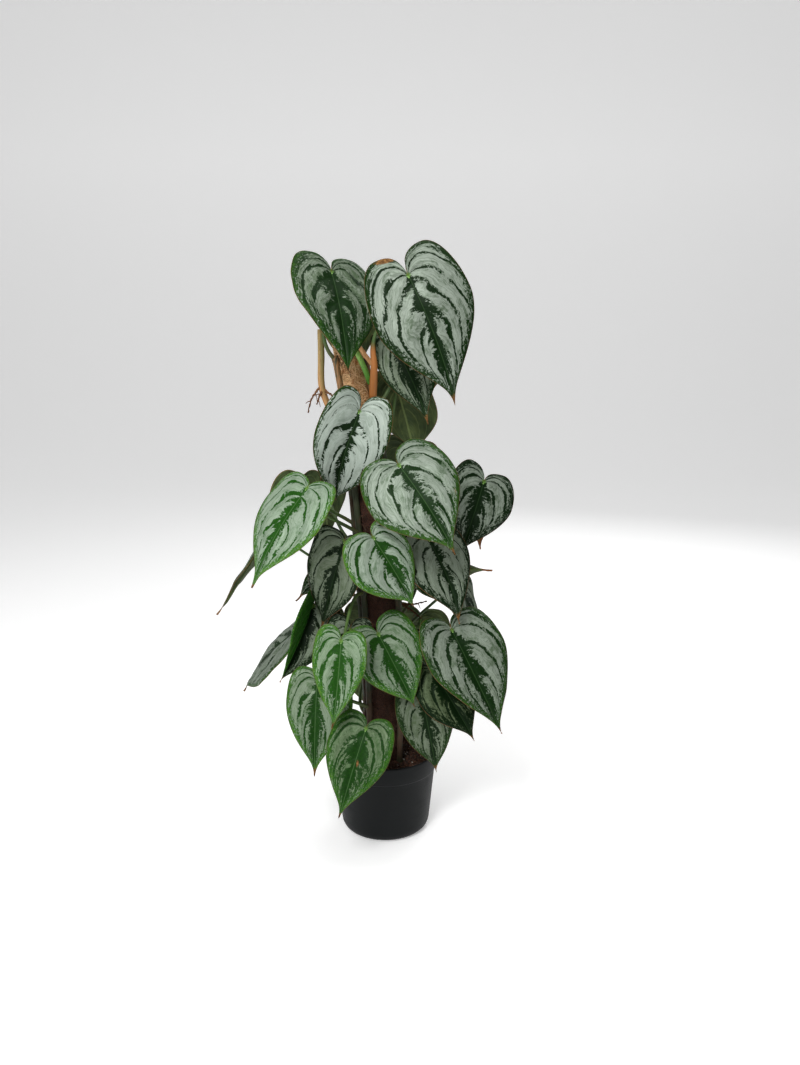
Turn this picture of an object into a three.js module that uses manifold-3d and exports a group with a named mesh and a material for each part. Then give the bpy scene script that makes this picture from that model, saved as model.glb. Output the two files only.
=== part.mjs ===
// A silver leaf philodendron in a round nursery pot: a leaning coir pole with four climbing stems
// round it, and forty heart-shaped leaves that hang from them on bent leaf stalks.
// Millimetres, +Z up, the pot's underside centred on the origin and the plant's front towards -Y.
import * as THREE from "three";
import { mergeVertices } from "three/addons/utils/BufferGeometryUtils.js";
import Module from "manifold-3d";

const wasm = await Module();
wasm.setup();

// Driving sizes
const GAP = 0.3; // between two pieces that touch
const RIM_RADIUS = 60; // a 12 cm nursery pot
const RIM_BAND = 21;
const FOOT_RADIUS = 51;
const FOOT_CORNER = 9;
const POT_HEIGHT = 94;
const WALL = 1.8;
const FLOOR = 2.4;
const SOIL_TOP = 85;
const STAKE_RADIUS = 6;
const STAKE_BOTTOM = 10;
const POLE_RADIUS = 21.5;
const POLE_BOTTOM = 16;
const POLE_TOP = 556;
const POLE_LEAN = 40; // how far its top stands to the left
const STEM_RADIUS = 3.6;
const STEM_BOTTOM = 46;
const STALK_RADIUS = 1.6;
const STALK_BASE_RADIUS = 2.3;
const BLADE_THICKNESS = 0.8;

const radians = THREE.MathUtils.degToRad;
const plant = new THREE.Group();

const finishes = {
  pot: { color: 0x26282a, roughness: 0.55 },
  soil: { color: 0x2c1d15, roughness: 1 },
  stake: { color: 0x6b4a33, roughness: 0.9 },
  coir: { color: 0x6a3a22, roughness: 1 },
  stem: { color: 0x3d4c26, roughness: 0.7 },
  leaf: { color: 0x7f9a86, roughness: 0.45 },
  shoot: { color: 0x5d9a3a, roughness: 0.45 },
  sheath: { color: 0xc39a66, roughness: 0.8 },
};

// Turns a closed geometry into a solid that can be joined and cut.
function solid(geometry) {
  const bare = new THREE.BufferGeometry();
  bare.setAttribute("position", geometry.getAttribute("position"));
  bare.setIndex(geometry.index);
  const merged = mergeVertices(bare, 1e-3);
  const triangles = merged.index.array;
  const kept = [];
  for (let i = 0; i < triangles.length; i += 3) {
    const [a, b, c] = triangles.slice(i, i + 3);
    if (a !== b && b !== c && c !== a) kept.push(a, b, c);
  }
  return new wasm.Manifold(
    new wasm.Mesh({
      numProp: 3,
      vertProperties: merged.attributes.position.array,
      triVerts: new Uint32Array(kept),
    }),
  );
}

// The main body of a solid that a cut has left crumbs on.
function largestBody(piece) {
  return piece.decompose().sort((a, b) => b.volume() - a.volume())[0];
}

// Puts a solid into the plant as a mesh with its name and finish.
function place(name, piece, finish) {
  const mesh = piece.getMesh();
  const geometry = new THREE.BufferGeometry();
  geometry.setAttribute("position", new THREE.BufferAttribute(mesh.vertProperties, 3));
  geometry.setIndex(new THREE.BufferAttribute(mesh.triVerts, 1));
  geometry.computeVertexNormals();
  const material = new THREE.MeshStandardMaterial({ metalness: 0, ...finish });
  const node = new THREE.Mesh(geometry, material);
  node.name = name;
  plant.add(node);
}

// A closed tube along a curve; radiusAt gives its radius from 0 at the start to 1 at the end.
function tube(curve, radiusAt, sides, steps) {
  const ring = new THREE.Shape();
  for (let side = 0; side < sides; side += 1) {
    const turn = (2 * Math.PI * side) / sides;
    const corner = new THREE.Vector2(Math.cos(turn), Math.sin(turn));
    if (side === 0) ring.moveTo(corner.x, corner.y);
    else ring.lineTo(corner.x, corner.y);
  }
  const geometry = new THREE.ExtrudeGeometry(ring, { extrudePath: curve, steps, bevelEnabled: false });
  const centres = curve.getSpacedPoints(steps);
  const position = geometry.getAttribute("position");
  const point = new THREE.Vector3();
  for (let i = 0; i < position.count; i += 1) {
    point.fromBufferAttribute(position, i);
    let nearest = 0;
    for (let k = 1; k <= steps; k += 1) {
      if (point.distanceToSquared(centres[k]) < point.distanceToSquared(centres[nearest])) nearest = k;
    }
    point.sub(centres[nearest]).multiplyScalar(radiusAt(nearest / steps)).add(centres[nearest]);
    position.setXYZ(i, point.x, point.y, point.z);
  }
  return solid(geometry);
}

function through(points) {
  return new THREE.CatmullRomCurve3(points.map((p) => new THREE.Vector3(...p)));
}

// The pole leans to the left towards its top and thins there.
function poleCentre(height) {
  const share = Math.max(0, (height - SOIL_TOP) / (POLE_TOP - SOIL_TOP));
  return new THREE.Vector3(-1 - POLE_LEAN * share ** 2.6, 0, height);
}

function poleRadius(height) {
  const evenBelow = 250;
  const share = Math.max(0, (height - evenBelow) / (POLE_TOP - evenBelow));
  return POLE_RADIUS - 8 * share ** 1.5;
}

function poleTube(bottom, top, radiusOf, sides, steps) {
  const spans = 12;
  const points = [];
  for (let i = 0; i <= spans; i += 1) {
    points.push(poleCentre(bottom + ((top - bottom) * i) / spans).toArray());
  }
  const radiusAt = (share) => radiusOf(bottom + (top - bottom) * share);
  return tube(through(points), radiusAt, sides, steps);
}

// Pot: turned wall with a deeper band at the rim, a rounded foot and a ring of drain holes.
function pot() {
  const bandBottom = POT_HEIGHT - RIM_BAND;
  const wallTop = RIM_RADIUS - 2.6;
  const bandStep = 1.3;
  const lip = 0.8;
  const profile = [
    [0, 0],
    [FOOT_RADIUS - FOOT_CORNER, 0],
    [FOOT_RADIUS - 0.3 * FOOT_CORNER, 0.3 * FOOT_CORNER],
    [FOOT_RADIUS, FOOT_CORNER],
    [wallTop, bandBottom],
    [wallTop + bandStep, bandBottom + 0.6],
    [RIM_RADIUS, POT_HEIGHT - lip],
    [RIM_RADIUS - lip, POT_HEIGHT],
    [RIM_RADIUS - WALL, POT_HEIGHT],
    [wallTop + bandStep - WALL, bandBottom + 2],
    [wallTop - WALL, bandBottom],
    [FOOT_RADIUS - WALL, FOOT_CORNER],
    [FOOT_RADIUS - FOOT_CORNER, FLOOR],
    [0, FLOOR],
  ];
  const points = profile.map(([radius, height]) => new THREE.Vector2(radius, height));
  let wall = solid(new THREE.LatheGeometry(points, 32).rotateX(Math.PI / 2));
  const holes = 6;
  const holeRadius = 3.5;
  const ringRadius = 30;
  for (let i = 0; i < holes; i += 1) {
    const turn = (2 * Math.PI * i) / holes;
    const hole = new THREE.CylinderGeometry(holeRadius, holeRadius, 8, 8).rotateX(Math.PI / 2);
    hole.translate(ringRadius * Math.cos(turn), ringRadius * Math.sin(turn), FLOOR / 2);
    wall = wall.subtract(solid(hole));
  }
  place("pot", wall, finishes.pot);
}

// Four stems climb the pole. The turn is measured from the front towards +X.
const STEMS = {
  front_left: { turns: [-38, -52], top: 540, free: [] },
  front_right: { turns: [42, 62], top: 510, free: [] },
  back_right: { turns: [140, 118], top: 538, free: [] },
  back_left: {
    turns: [-128, -98],
    top: 438,
    // It leaves the pole there, and was cut: its stub stands free.
    free: [[-48, 3, 460], [-59, 1, 484], [-67, 0, 508], [-67, 0, 568]],
  },
};
function stemPoint(stem, height) {
  const share = (height - STEM_BOTTOM) / (stem.top - STEM_BOTTOM);
  const turn = radians(stem.turns[0] + (stem.turns[1] - stem.turns[0]) * share);
  const reach = poleRadius(height) + STEM_RADIUS + GAP;
  return poleCentre(height).add(new THREE.Vector3(reach * Math.sin(turn), -reach * Math.cos(turn), 0));
}

function stemTube(stem, extra) {
  const spans = 14;
  const points = [];
  for (let i = 0; i <= spans; i += 1) {
    const height = STEM_BOTTOM + ((stem.top - STEM_BOTTOM) * i) / spans;
    points.push(stemPoint(stem, height).toArray());
  }
  const sides = 6;
  const steps = 22;
  return tube(through([...points, ...stem.free]), () => STEM_RADIUS + extra, sides, steps);
}

// Dry roots that grow from the stems into the air.
const ROOTS = {
  back_left: [
    [[-67, 0, 508], [-72, -3, 503], [-78, -4, 494], [-82, -2, 480]],
    [[-66, 0, 504], [-69, -6, 498], [-72, -8, 489]],
    [[-66, 0, 506], [-58, -4, 500], [-52, -5, 498]],
  ],
  back_right: [
    [[17, 16, 262], [30, 8, 263], [47, -3, 270]],
    [[17, 16, 262], [30, 9, 256], [41, 0, 249]],
  ],
};

function stemPieces() {
  const rootRadius = (share) => 1.1 - 0.5 * share;
  for (const [name, stem] of Object.entries(STEMS)) {
    let piece = stemTube(stem, 0);
    for (const root of ROOTS[name] ?? []) piece = piece.add(tube(through(root), rootRadius, 4, 4));
    place(`stem_${name}`, piece, finishes.stem);
  }
}

// The half outline of a blade from the notch round the lobe to the drip tip, as four joined curves.
const RUN_ENDS = [0, 0.2, 0.44, 0.86, 1];

function outline(halfWidth, length, lobe, belly) {
  const curve = (...ends) => new THREE.CubicBezierCurve(...ends.map((p) => new THREE.Vector2(...p)));
  const w = halfWidth;
  const lobeTop = [0.5 * w, -lobe];
  const widest = [w, belly * length];
  const neck = [0.1 * w, 0.88 * length];
  return [
    curve([0, 0], [0.02 * w, -0.62 * lobe], [0.14 * w, -lobe], lobeTop),
    curve(lobeTop, [0.82 * w, -lobe], [w, (belly - 0.22) * length], widest),
    curve(widest, [w, (belly + 0.27) * length], [0.27 * w, 0.755 * length], neck),
    curve(neck, [0.049 * w, 0.9175 * length], [0.02 * w, 0.96 * length], [0, length]),
  ];
}

function marginPoint(curves, run) {
  const part = run >= 1 ? 3 : RUN_ENDS.findIndex((end) => run < end) - 1;
  return curves[part].getPoint((run - RUN_ENDS[part]) / (RUN_ENDS[part + 1] - RUN_ENDS[part]));
}

// What the usual leaf has, unless its own row says otherwise. Lengths are shares of the leaf's length,
// cup is a share of its width, ripple is in millimetres and turns are in degrees.
const USUAL = {
  rise: 25,
  swing: 0,
  lobe: 0.18, // how far the basal lobes reach past the notch
  lobeSkew: 0, // how much longer one lobe is
  skew: 0, // how much wider one half is
  sway: 0, // how far the tip curves aside
  bend: 20, // how far the blade bends down from notch to tip
  fold: 8, // how far each half rises from the midrib
  belly: 0.22, // where it is widest
  cup: 0.1,
  ripple: 1.1,
};

// A point of the flat blade: run goes round the margin from the notch (0) to the tip (1) and reach goes
// from the midrib (0) out to the margin (1) along a side vein, which bows towards the tip.
function flatPoint(leaf, side, run, reach) {
  const halfWidth = (leaf.width / 2) * (1 + side * leaf.skew);
  const lobe = leaf.lobe * leaf.length * (1 + side * leaf.lobeSkew);
  const margin = marginPoint(outline(halfWidth, leaf.length, lobe, leaf.belly), run);
  const ribShare = Math.min(1, Math.max(0, (run - 0.42) / 0.58)) ** 1.15;
  const rib = new THREE.Vector2(0, ribShare * leaf.length);
  const vein = margin.clone().sub(rib);
  const bow = 0.16 * Math.min(1, run / 0.3) * Math.min(1, (1 - run) / 0.2);
  const middle = new THREE.Vector2(vein.y, -vein.x).multiplyScalar(bow).add(rib).addScaledVector(vein, 0.5);
  return new THREE.QuadraticBezierCurve(rib, middle, margin).getPoint(reach);
}

// The same point on the blade as it hangs: folded along the midrib, cupped, bent down and swayed.
function hangingPoint(leaf, side, run, reach) {
  const flat = flatPoint(leaf, side, run, reach);
  const across = flat.x;
  const along = flat.y / leaf.length;
  const fold = radians(leaf.fold);
  const bend = radians(leaf.bend);
  const wave = leaf.ripple * reach * reach * Math.sin(2 * Math.PI * (2.5 * run + 0.3 * side));
  const lift = across * Math.tan(fold) - (leaf.cup * across * across) / (leaf.width / 2) + wave;
  const angle = bend * along;
  const swayed = leaf.sway * leaf.length * Math.max(0, along) ** 2.5;
  return new THREE.Vector3(
    side * across * Math.cos(fold) + swayed,
    (Math.sin(angle) / bend) * leaf.length + lift * Math.sin(angle),
    ((Math.cos(angle) - 1) / bend) * leaf.length + lift * Math.cos(angle),
  );
}

// The frame of a hanging leaf: its face looks along the third axis and its tip lies along the second.
function leafFrame(leaf) {
  const turn = radians(leaf.turn);
  const rise = radians(leaf.rise);
  const swing = radians(leaf.swing);
  const face = new THREE.Vector3(
    Math.sin(turn) * Math.cos(rise),
    -Math.cos(turn) * Math.cos(rise),
    Math.sin(rise),
  );
  const down = new THREE.Vector3(0, 0, -1).addScaledVector(face, face.z).normalize();
  const aside = new THREE.Vector3().crossVectors(face, down);
  const tip = down.multiplyScalar(Math.cos(swing)).addScaledVector(aside, Math.sin(swing));
  const across = new THREE.Vector3().crossVectors(face, tip);
  return new THREE.Matrix4().makeBasis(across, tip, face).setPosition(...leaf.at);
}

const RUNS = [0, 0.1, 0.2, 0.32, 0.44, 0.58, 0.72, 0.86, 0.93, 1];
const REACHES = [0, 0.5, 1];

// The blade as one closed sheet: the same triangles above and below, and a rim between them.
function blade(leaf) {
  const frame = leafFrame(leaf);
  const corners = [];
  const faces = [];
  for (const side of [1, -1]) {
    const first = corners.length;
    for (const run of RUNS) {
      for (const reach of REACHES) corners.push(hangingPoint(leaf, side, run, reach).applyMatrix4(frame));
    }
    const wide = REACHES.length;
    for (let i = 0; i < RUNS.length - 1; i += 1) {
      for (let j = 0; j < wide - 1; j += 1) {
        const a = first + i * wide + j;
        const [b, c, d] = [a + 1, a + wide + 1, a + wide];
        faces.push(...(side > 0 ? [[a, d, c], [a, c, b]] : [[a, c, d], [a, b, c]]));
      }
    }
  }
  const sheet = new THREE.BufferGeometry().setFromPoints(corners);
  sheet.setIndex(faces.flat());
  return solid(thicken(mergeVertices(sheet, 1e-2)));
}

// Gives an open sheet its thickness, downwards along its own normals.
function thicken(sheet) {
  const index = [...sheet.index.array];
  const triangles = [];
  for (let i = 0; i < index.length; i += 3) {
    const [a, b, c] = index.slice(i, i + 3);
    if (a !== b && b !== c && c !== a) triangles.push([a, b, c]);
  }
  sheet.setIndex(triangles.flat());
  sheet.computeVertexNormals();
  const top = sheet.getAttribute("position");
  const normal = sheet.getAttribute("normal");
  const count = top.count;
  const points = [];
  for (const depth of [0, BLADE_THICKNESS]) {
    for (let i = 0; i < count; i += 1) {
      const point = new THREE.Vector3().fromBufferAttribute(top, i);
      points.push(point.addScaledVector(new THREE.Vector3().fromBufferAttribute(normal, i), -depth));
    }
  }
  const edges = new Set(triangles.flatMap(([a, b, c]) => [`${a},${b}`, `${b},${c}`, `${c},${a}`]));
  const closed = [...triangles, ...triangles.map(([a, b, c]) => [a + count, c + count, b + count])];
  for (const edge of edges) {
    const [a, b] = edge.split(",").map(Number);
    if (!edges.has(`${b},${a}`)) closed.push([b, a, a + count], [b, a + count, b + count]);
  }
  return new THREE.BufferGeometry().setFromPoints(points).setIndex(closed.flat());
}

// The stalk rises out of its stem, arches behind the blade and meets it just below the notch. Where it
// has to pass other leaves, the points on its way are its own.
function stalkCurve(leaf) {
  const [across, tip, face] = [new THREE.Vector3(), new THREE.Vector3(), new THREE.Vector3()];
  leafFrame(leaf).extractBasis(across, tip, face);
  const foot = stemPoint(STEMS[leaf.stem], leaf.root);
  const head = new THREE.Vector3(...leaf.at).addScaledVector(face, -0.9).add(tip);
  if (leaf.via) return through([foot.toArray(), ...leaf.via, head.toArray()]);
  const span = foot.distanceTo(head);
  const outward = foot.clone().sub(poleCentre(leaf.root)).normalize();
  const start = foot.clone().addScaledVector(outward, 0.3 * span).add(new THREE.Vector3(0, 0, 0.2 * span));
  const end = head.clone().addScaledVector(tip, 0.16 * span).addScaledVector(face, -0.26 * span);
  return new THREE.CubicBezierCurve3(foot, start, end, head);
}

function stalk(leaf, extra) {
  const base = leaf.sheath ?? STALK_BASE_RADIUS;
  const radiusAt = (share) => STALK_RADIUS + (base - STALK_RADIUS) * (1 - share) ** 2 + extra;
  return tube(stalkCurve(leaf), radiusAt, 5, 6);
}

// Where each leaf hangs (at: its notch), how its face turns from the front towards +X and rises, how far
// its tip swings aside, its length and width, and the stem and height that its stalk grows from.
const LEAVES = {
  // The two at the top
  leaf_top_left: { at: [-53, -20, 625], turn: 36, rise: 38, swing: -8, length: 118, width: 96, lobe: 0.19,
    fold: 4, stem: "front_left", root: 536 },
  leaf_top_right: { at: [25, -78, 616], turn: -5, rise: 15, swing: 26, length: 133, width: 101, lobe: 0.21,
    fold: -3, bend: 26, sway: -0.08, belly: 0.25, stem: "front_right", root: 497, sheath: 4.2,
    via: [[-10, -23, 528], [-8, -36, 562]] },
  leaf_upper_shaded: { at: [9, -7, 555], turn: -18, rise: 33, swing: 34, length: 103, width: 66, skew: 0.17,
    sway: -0.08, belly: 0.28, stem: "front_right", root: 486 },
  leaf_upper_behind: { at: [13, 0, 511], turn: 158, rise: 29, swing: -5, length: 94, width: 73, skew: -0.13,
    bend: 10, belly: 0.32, fold: 2, stem: "back_right", root: 452 },
  // Middle of the plant
  leaf_silver: { at: [-24, -62, 485], turn: 5, rise: -8, swing: -20, length: 118, width: 82, fold: 26,
    bend: 42, sway: 0.12, stem: "front_left", root: 452 },
  leaf_middle_front: { at: [16, -82, 433], turn: -6, rise: 32, swing: 37, length: 107, width: 97, skew: -0.05,
    sway: -0.05, fold: -1, belly: 0.26, stem: "front_right", root: 396 },
  leaf_middle_right: { at: [109, 0, 405], turn: 18, rise: 20, swing: -23, length: 84, width: 79, lobe: 0.19,
    lobeSkew: -0.11, belly: 0.24, stem: "back_right", root: 352 },
  leaf_middle_left: { at: [-78, -68, 408], turn: -31, rise: 40, swing: -18, length: 116, width: 88,
    lobe: 0.12, lobeSkew: 0.15, sway: 0.05, fold: 1, belly: 0.25, stem: "front_left", root: 350 },
  leaf_middle_left_behind: { at: [-92, -12, 407], turn: -156, rise: 20, swing: 16, length: 76, width: 56,
    lobeSkew: -0.19, stem: "back_left", root: 356 },
  leaf_edge_on: { at: [-131, 28, 348], turn: -93, rise: 27, swing: 36, length: 118, width: 73, bend: -4,
    fold: 2, stem: "back_left", root: 280, via: [[-60, 27, 298], [-92, 24, 320]] },
  leaf_olive: { at: [-42, -46, 348], turn: -35, rise: 6, swing: -18, length: 113, width: 79, lobe: 0.1,
    lobeSkew: 0.14, skew: 0.06, sway: -0.06, fold: 17, stem: "front_left", root: 306 },
  leaf_centre_front: { at: [-10, -86, 360], turn: 14, rise: 15, swing: 31, length: 89, width: 71, skew: -0.2,
    lobe: 0.15, bend: 29, belly: 0.26, stem: "front_left", root: 322 },
  leaf_right_grey: { at: [47, -45, 350], turn: 16, rise: 37, swing: 20, length: 95, width: 76, lobe: 0.2,
    skew: -0.08, sway: -0.12, belly: 0.24, stem: "front_right", root: 310 },
  leaf_right_point: { at: [33, 60, 284], turn: 177, rise: 48, swing: -118, length: 105, width: 71,
    stem: "back_right", root: 246 },
  leaf_right_behind: { at: [79, -10, 297], turn: 59, rise: 20, swing: 23, length: 88, width: 62, fold: 2,
    stem: "back_right", root: 224 },
  leaf_centre_underside: { at: [43, -12, 309], turn: 20, rise: 32, swing: 33, length: 54, width: 45,
    stem: "front_right", root: 274 },
  leaf_right_curled: { at: [94, 30, 393], turn: 150, rise: 20, swing: -12, length: 74, width: 56, sway: 0.06,
    stem: "back_right", root: 316 },
  leaf_left_small: { at: [-57, 8, 304], turn: -38, rise: 46, swing: -40, length: 59, width: 40, fold: 18,
    skew: -0.08, stem: "back_left", root: 268 },
  // Lower plant
  leaf_low_far_left: { at: [-106, 14, 228], turn: -76, rise: 42, swing: -32, length: 130, width: 76,
    skew: 0.19, sway: -0.03, fold: 2, belly: 0.3, stem: "back_left", root: 196 },
  leaf_low_folded: { at: [-81, -2, 264], turn: 43, rise: 12, swing: -32, length: 92, width: 72, fold: 37,
    skew: -0.06, belly: 0.29, stem: "back_left", root: 226 },
  leaf_low_dark: { at: [-37, -38, 248], turn: -10, rise: 8, swing: -7, length: 75, width: 59, lobe: 0.21,
    stem: "front_left", root: 214 },
  leaf_low_bright: { at: [-44, -86, 251], turn: -10, rise: 19, swing: -1, length: 93, width: 59, lobe: 0.15,
    lobeSkew: -0.17, sway: -0.06, belly: 0.18, stem: "front_left", root: 282 },
  leaf_low_centre: { at: [-6, -58, 249], turn: 3, rise: 21, swing: 27, length: 92, width: 79, lobe: 0.19,
    bend: 36, fold: 12, belly: 0.19, stem: "front_right", root: 210 },
  leaf_low_centre_behind: { at: [29, 0, 223], turn: 26, rise: 32, swing: 16, length: 82, width: 53,
    skew: -0.16, stem: "back_right", root: 176 },
  leaf_low_right: { at: [72, -62, 255], turn: 17, rise: 39, swing: 16, length: 119, width: 93, lobe: 0.16,
    lobeSkew: -0.07, skew: 0.05, sway: 0.04, belly: 0.24, stem: "front_right", root: 244 },
  leaf_low_right_shaded: { at: [53, -44, 203], turn: 4, rise: 31, swing: 30, length: 88, width: 64,
    belly: 0.3, stem: "front_right", root: 226 },
  leaf_pot_left: { at: [-73, -50, 194], turn: -12, rise: 25, swing: 2, length: 103, width: 76, lobe: 0.16,
    lobeSkew: 0.09, skew: 0.11, stem: "front_left", root: 150 },
  leaf_pot_front: { at: [-19, -86, 154], turn: -9, rise: 31, swing: -14, length: 96, width: 71, lobe: 0.16,
    stem: "front_left", root: 118 },
  leaf_pot_right: { at: [41, -45, 174], turn: 4, rise: 12, swing: 11, length: 94, width: 66, lobe: 0.2,
    bend: 27, fold: 11, belly: 0.19, stem: "front_right", root: 128 },
  // The back of the plant
  leaf_back_top_right: { at: [34, 48, 560], turn: 160, rise: 20, swing: 10, length: 98, width: 78,
    stem: "back_right", root: 530 },
  leaf_back_top_left: { at: [-38, 42, 596], turn: -165, rise: 22, swing: -5, length: 84, width: 66,
    stem: "back_right", root: 534, via: [[-30, 30, 562]] },
  leaf_back_upper_left: { at: [-42, 48, 470], turn: -155, rise: 20, swing: -12, length: 92, width: 72,
    stem: "back_left", root: 420 },
  leaf_back_upper_right: { at: [28, 58, 432], turn: 165, rise: 26, swing: 12, length: 100, width: 80,
    stem: "back_right", root: 380 },
  leaf_back_left: { at: [-70, 46, 396], turn: -150, rise: 22, swing: -10, length: 72, width: 56,
    stem: "back_left", root: 330 },
  leaf_back_middle: { at: [12, 62, 360], turn: 178, rise: 24, swing: 4, length: 96, width: 76,
    stem: "back_right", root: 310 },
  leaf_back_right: { at: [70, 46, 364], turn: 130, rise: 25, swing: 8, length: 80, width: 62,
    stem: "back_right", root: 330 },
  leaf_back_low_left: { at: [-50, 54, 238], turn: -160, rise: 24, swing: -8, length: 94, width: 74,
    stem: "back_left", root: 176 },
  leaf_back_low_right: { at: [42, 62, 232], turn: 160, rise: 26, swing: 10, length: 98, width: 78,
    stem: "back_right", root: 150 },
  leaf_back_pot_left: { at: [-22, 68, 182], turn: -172, rise: 22, swing: -4, length: 90, width: 70,
    stem: "back_left", root: 128 },
  leaf_back_pot_right: { at: [50, 50, 166], turn: 148, rise: 24, swing: 10, length: 86, width: 66,
    stem: "back_right", root: 122 },
};

function leafPieces() {
  const stems = Object.values(STEMS).map((stem) => stemTube(stem, GAP));
  const pole = poleTube(POLE_BOTTOM, POLE_TOP, (height) => poleRadius(height) + GAP, 16, 12);
  for (const [name, row] of Object.entries(LEAVES)) {
    const leaf = { ...USUAL, ...row };
    let piece = blade(leaf).add(stalk(leaf, 0));
    for (const carrier of [pole, ...stems]) piece = piece.subtract(carrier);
    place(name, largestBody(piece), finishes.leaf);
  }
}

// The rolled new leaf on the end of its stem, and the papery sheath that it has burst, which stands
// against the stalk of the leaf beside it.
function shootPieces() {
  const bud = through([[-15, -9, 512], [-19, -17, 524], [-25, -24, 538], [-32, -27, 552], [-41, -27, 570]]);
  const bluntShare = 0.72;
  const budRadius = (share) => 3 - 2.5 * (Math.max(0, share - bluntShare) / (1 - bluntShare));
  const roll = tube(bud, budRadius, 6, 10).subtract(stemTube(STEMS.front_right, GAP));
  place("new_leaf_roll", roll, finishes.shoot);
  const flap = through([[-10, -24, 528], [-17, -28, 538], [-24, -30, 548], [-28, -31, 556]]);
  const neighbour = stalk({ ...USUAL, ...LEAVES.leaf_top_right }, GAP);
  const sheath = tube(flap, (share) => 2.4 - 1.4 * share, 6, 5).subtract(neighbour);
  place("shoot_sheath", largestBody(sheath), finishes.sheath);
}

// Coir pole: a wooden stake with a sleeve of coir round it.
function polePieces() {
  const stake = poleTube(STAKE_BOTTOM, POLE_TOP - 4, () => STAKE_RADIUS, 8, 10);
  place("pole_stake", stake, finishes.stake);
  const sleeve = poleTube(POLE_BOTTOM, POLE_TOP, poleRadius, 16, 12);
  const bore = poleTube(STAKE_BOTTOM - 2, POLE_TOP + 6, () => STAKE_RADIUS + GAP, 8, 10);
  place("coir_sleeve", sleeve.subtract(bore), finishes.coir);
}

// Potting mix, mounded round the pole, with plain holes for what stands in it.
function soil() {
  const bottom = FLOOR + GAP;
  const wallSlope = 0.1;
  const wallAt = (height) => FOOT_RADIUS - WALL - GAP + (height - FOOT_CORNER) * wallSlope;
  const profile = [
    [0, bottom],
    [FOOT_RADIUS - FOOT_CORNER - 2, bottom],
    [wallAt(FOOT_CORNER) - 0.2, FOOT_CORNER],
    [wallAt(SOIL_TOP - 5), SOIL_TOP - 5],
    [42, SOIL_TOP - 2],
    [26, SOIL_TOP],
    [0, SOIL_TOP],
  ];
  const points = profile.map(([radius, height]) => new THREE.Vector2(radius, height));
  let mix = solid(new THREE.LatheGeometry(points, 28).rotateX(Math.PI / 2));
  mix = mix.subtract(poleTube(POLE_BOTTOM - GAP, POLE_TOP, (height) => poleRadius(height) + GAP, 16, 12));
  mix = mix.subtract(poleTube(STAKE_BOTTOM - GAP, 40, () => STAKE_RADIUS + GAP, 10, 4));
  for (const stem of Object.values(STEMS)) mix = mix.subtract(stemTube(stem, GAP));
  place("soil", mix, finishes.soil);
}

pot();
soil();
polePieces();
stemPieces();
leafPieces();
shootPieces();

export default plant;
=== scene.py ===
"""Finishes the potted silver leaf philodendron: its leaves, stems, coir pole, potting mix and pot.

Sizes are in millimetres in the plant's own frame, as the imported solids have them, and become metres when
a piece is placed. A leaf's form follows the same few numbers as its solid, with a finer mesh and relief.
"""

from __future__ import annotations

import logging
import math
import random
from dataclasses import dataclass, field
from enum import Enum
from typing import Any, Callable, Iterable, Sequence

import bmesh
import bpy
from mathutils import Euler, Matrix, Vector, noise


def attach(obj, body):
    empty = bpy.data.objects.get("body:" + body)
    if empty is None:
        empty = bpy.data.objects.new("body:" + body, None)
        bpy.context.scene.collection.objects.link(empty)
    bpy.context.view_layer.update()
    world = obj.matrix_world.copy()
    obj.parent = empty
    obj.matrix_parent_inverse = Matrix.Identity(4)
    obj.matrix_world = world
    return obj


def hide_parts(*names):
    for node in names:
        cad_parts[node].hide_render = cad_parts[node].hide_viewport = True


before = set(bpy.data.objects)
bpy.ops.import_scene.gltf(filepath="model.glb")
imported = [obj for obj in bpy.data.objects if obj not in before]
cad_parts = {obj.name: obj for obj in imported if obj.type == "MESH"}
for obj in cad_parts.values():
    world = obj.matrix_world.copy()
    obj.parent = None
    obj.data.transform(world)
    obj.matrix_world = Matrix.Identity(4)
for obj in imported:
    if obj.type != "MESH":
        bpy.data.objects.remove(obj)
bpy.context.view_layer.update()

log = logging.getLogger("plant")
Colour = tuple[float, float, float, float]
Point = tuple[float, float, float]

MM = 0.001
POLE_TOP = 556.0
SOIL_TOP = 85.0
RIM_RADIUS = 60.0
POT_HEIGHT = 94.0
STEM_RADIUS = 3.6
STALK_RADIUS = 1.5
BLADE_THICKNESS = 0.5
VEIN_START = 0.03
VEIN_STEP = 0.15
VEIN_SWEEP = 0.27


def tint(red: int, green: int, blue: int) -> Colour:
    """Turns a colour as a screen shows it into the linear colour that a shader takes.

    Args:
        red: Red from 0 to 255.
        green: Green from 0 to 255.
        blue: Blue from 0 to 255.

    Returns:
        The linear colour, opaque.
    """
    linear = [((part / 255 + 0.055) / 1.055) ** 2.4 for part in (red, green, blue)]
    return (linear[0], linear[1], linear[2], 1.0)


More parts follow.
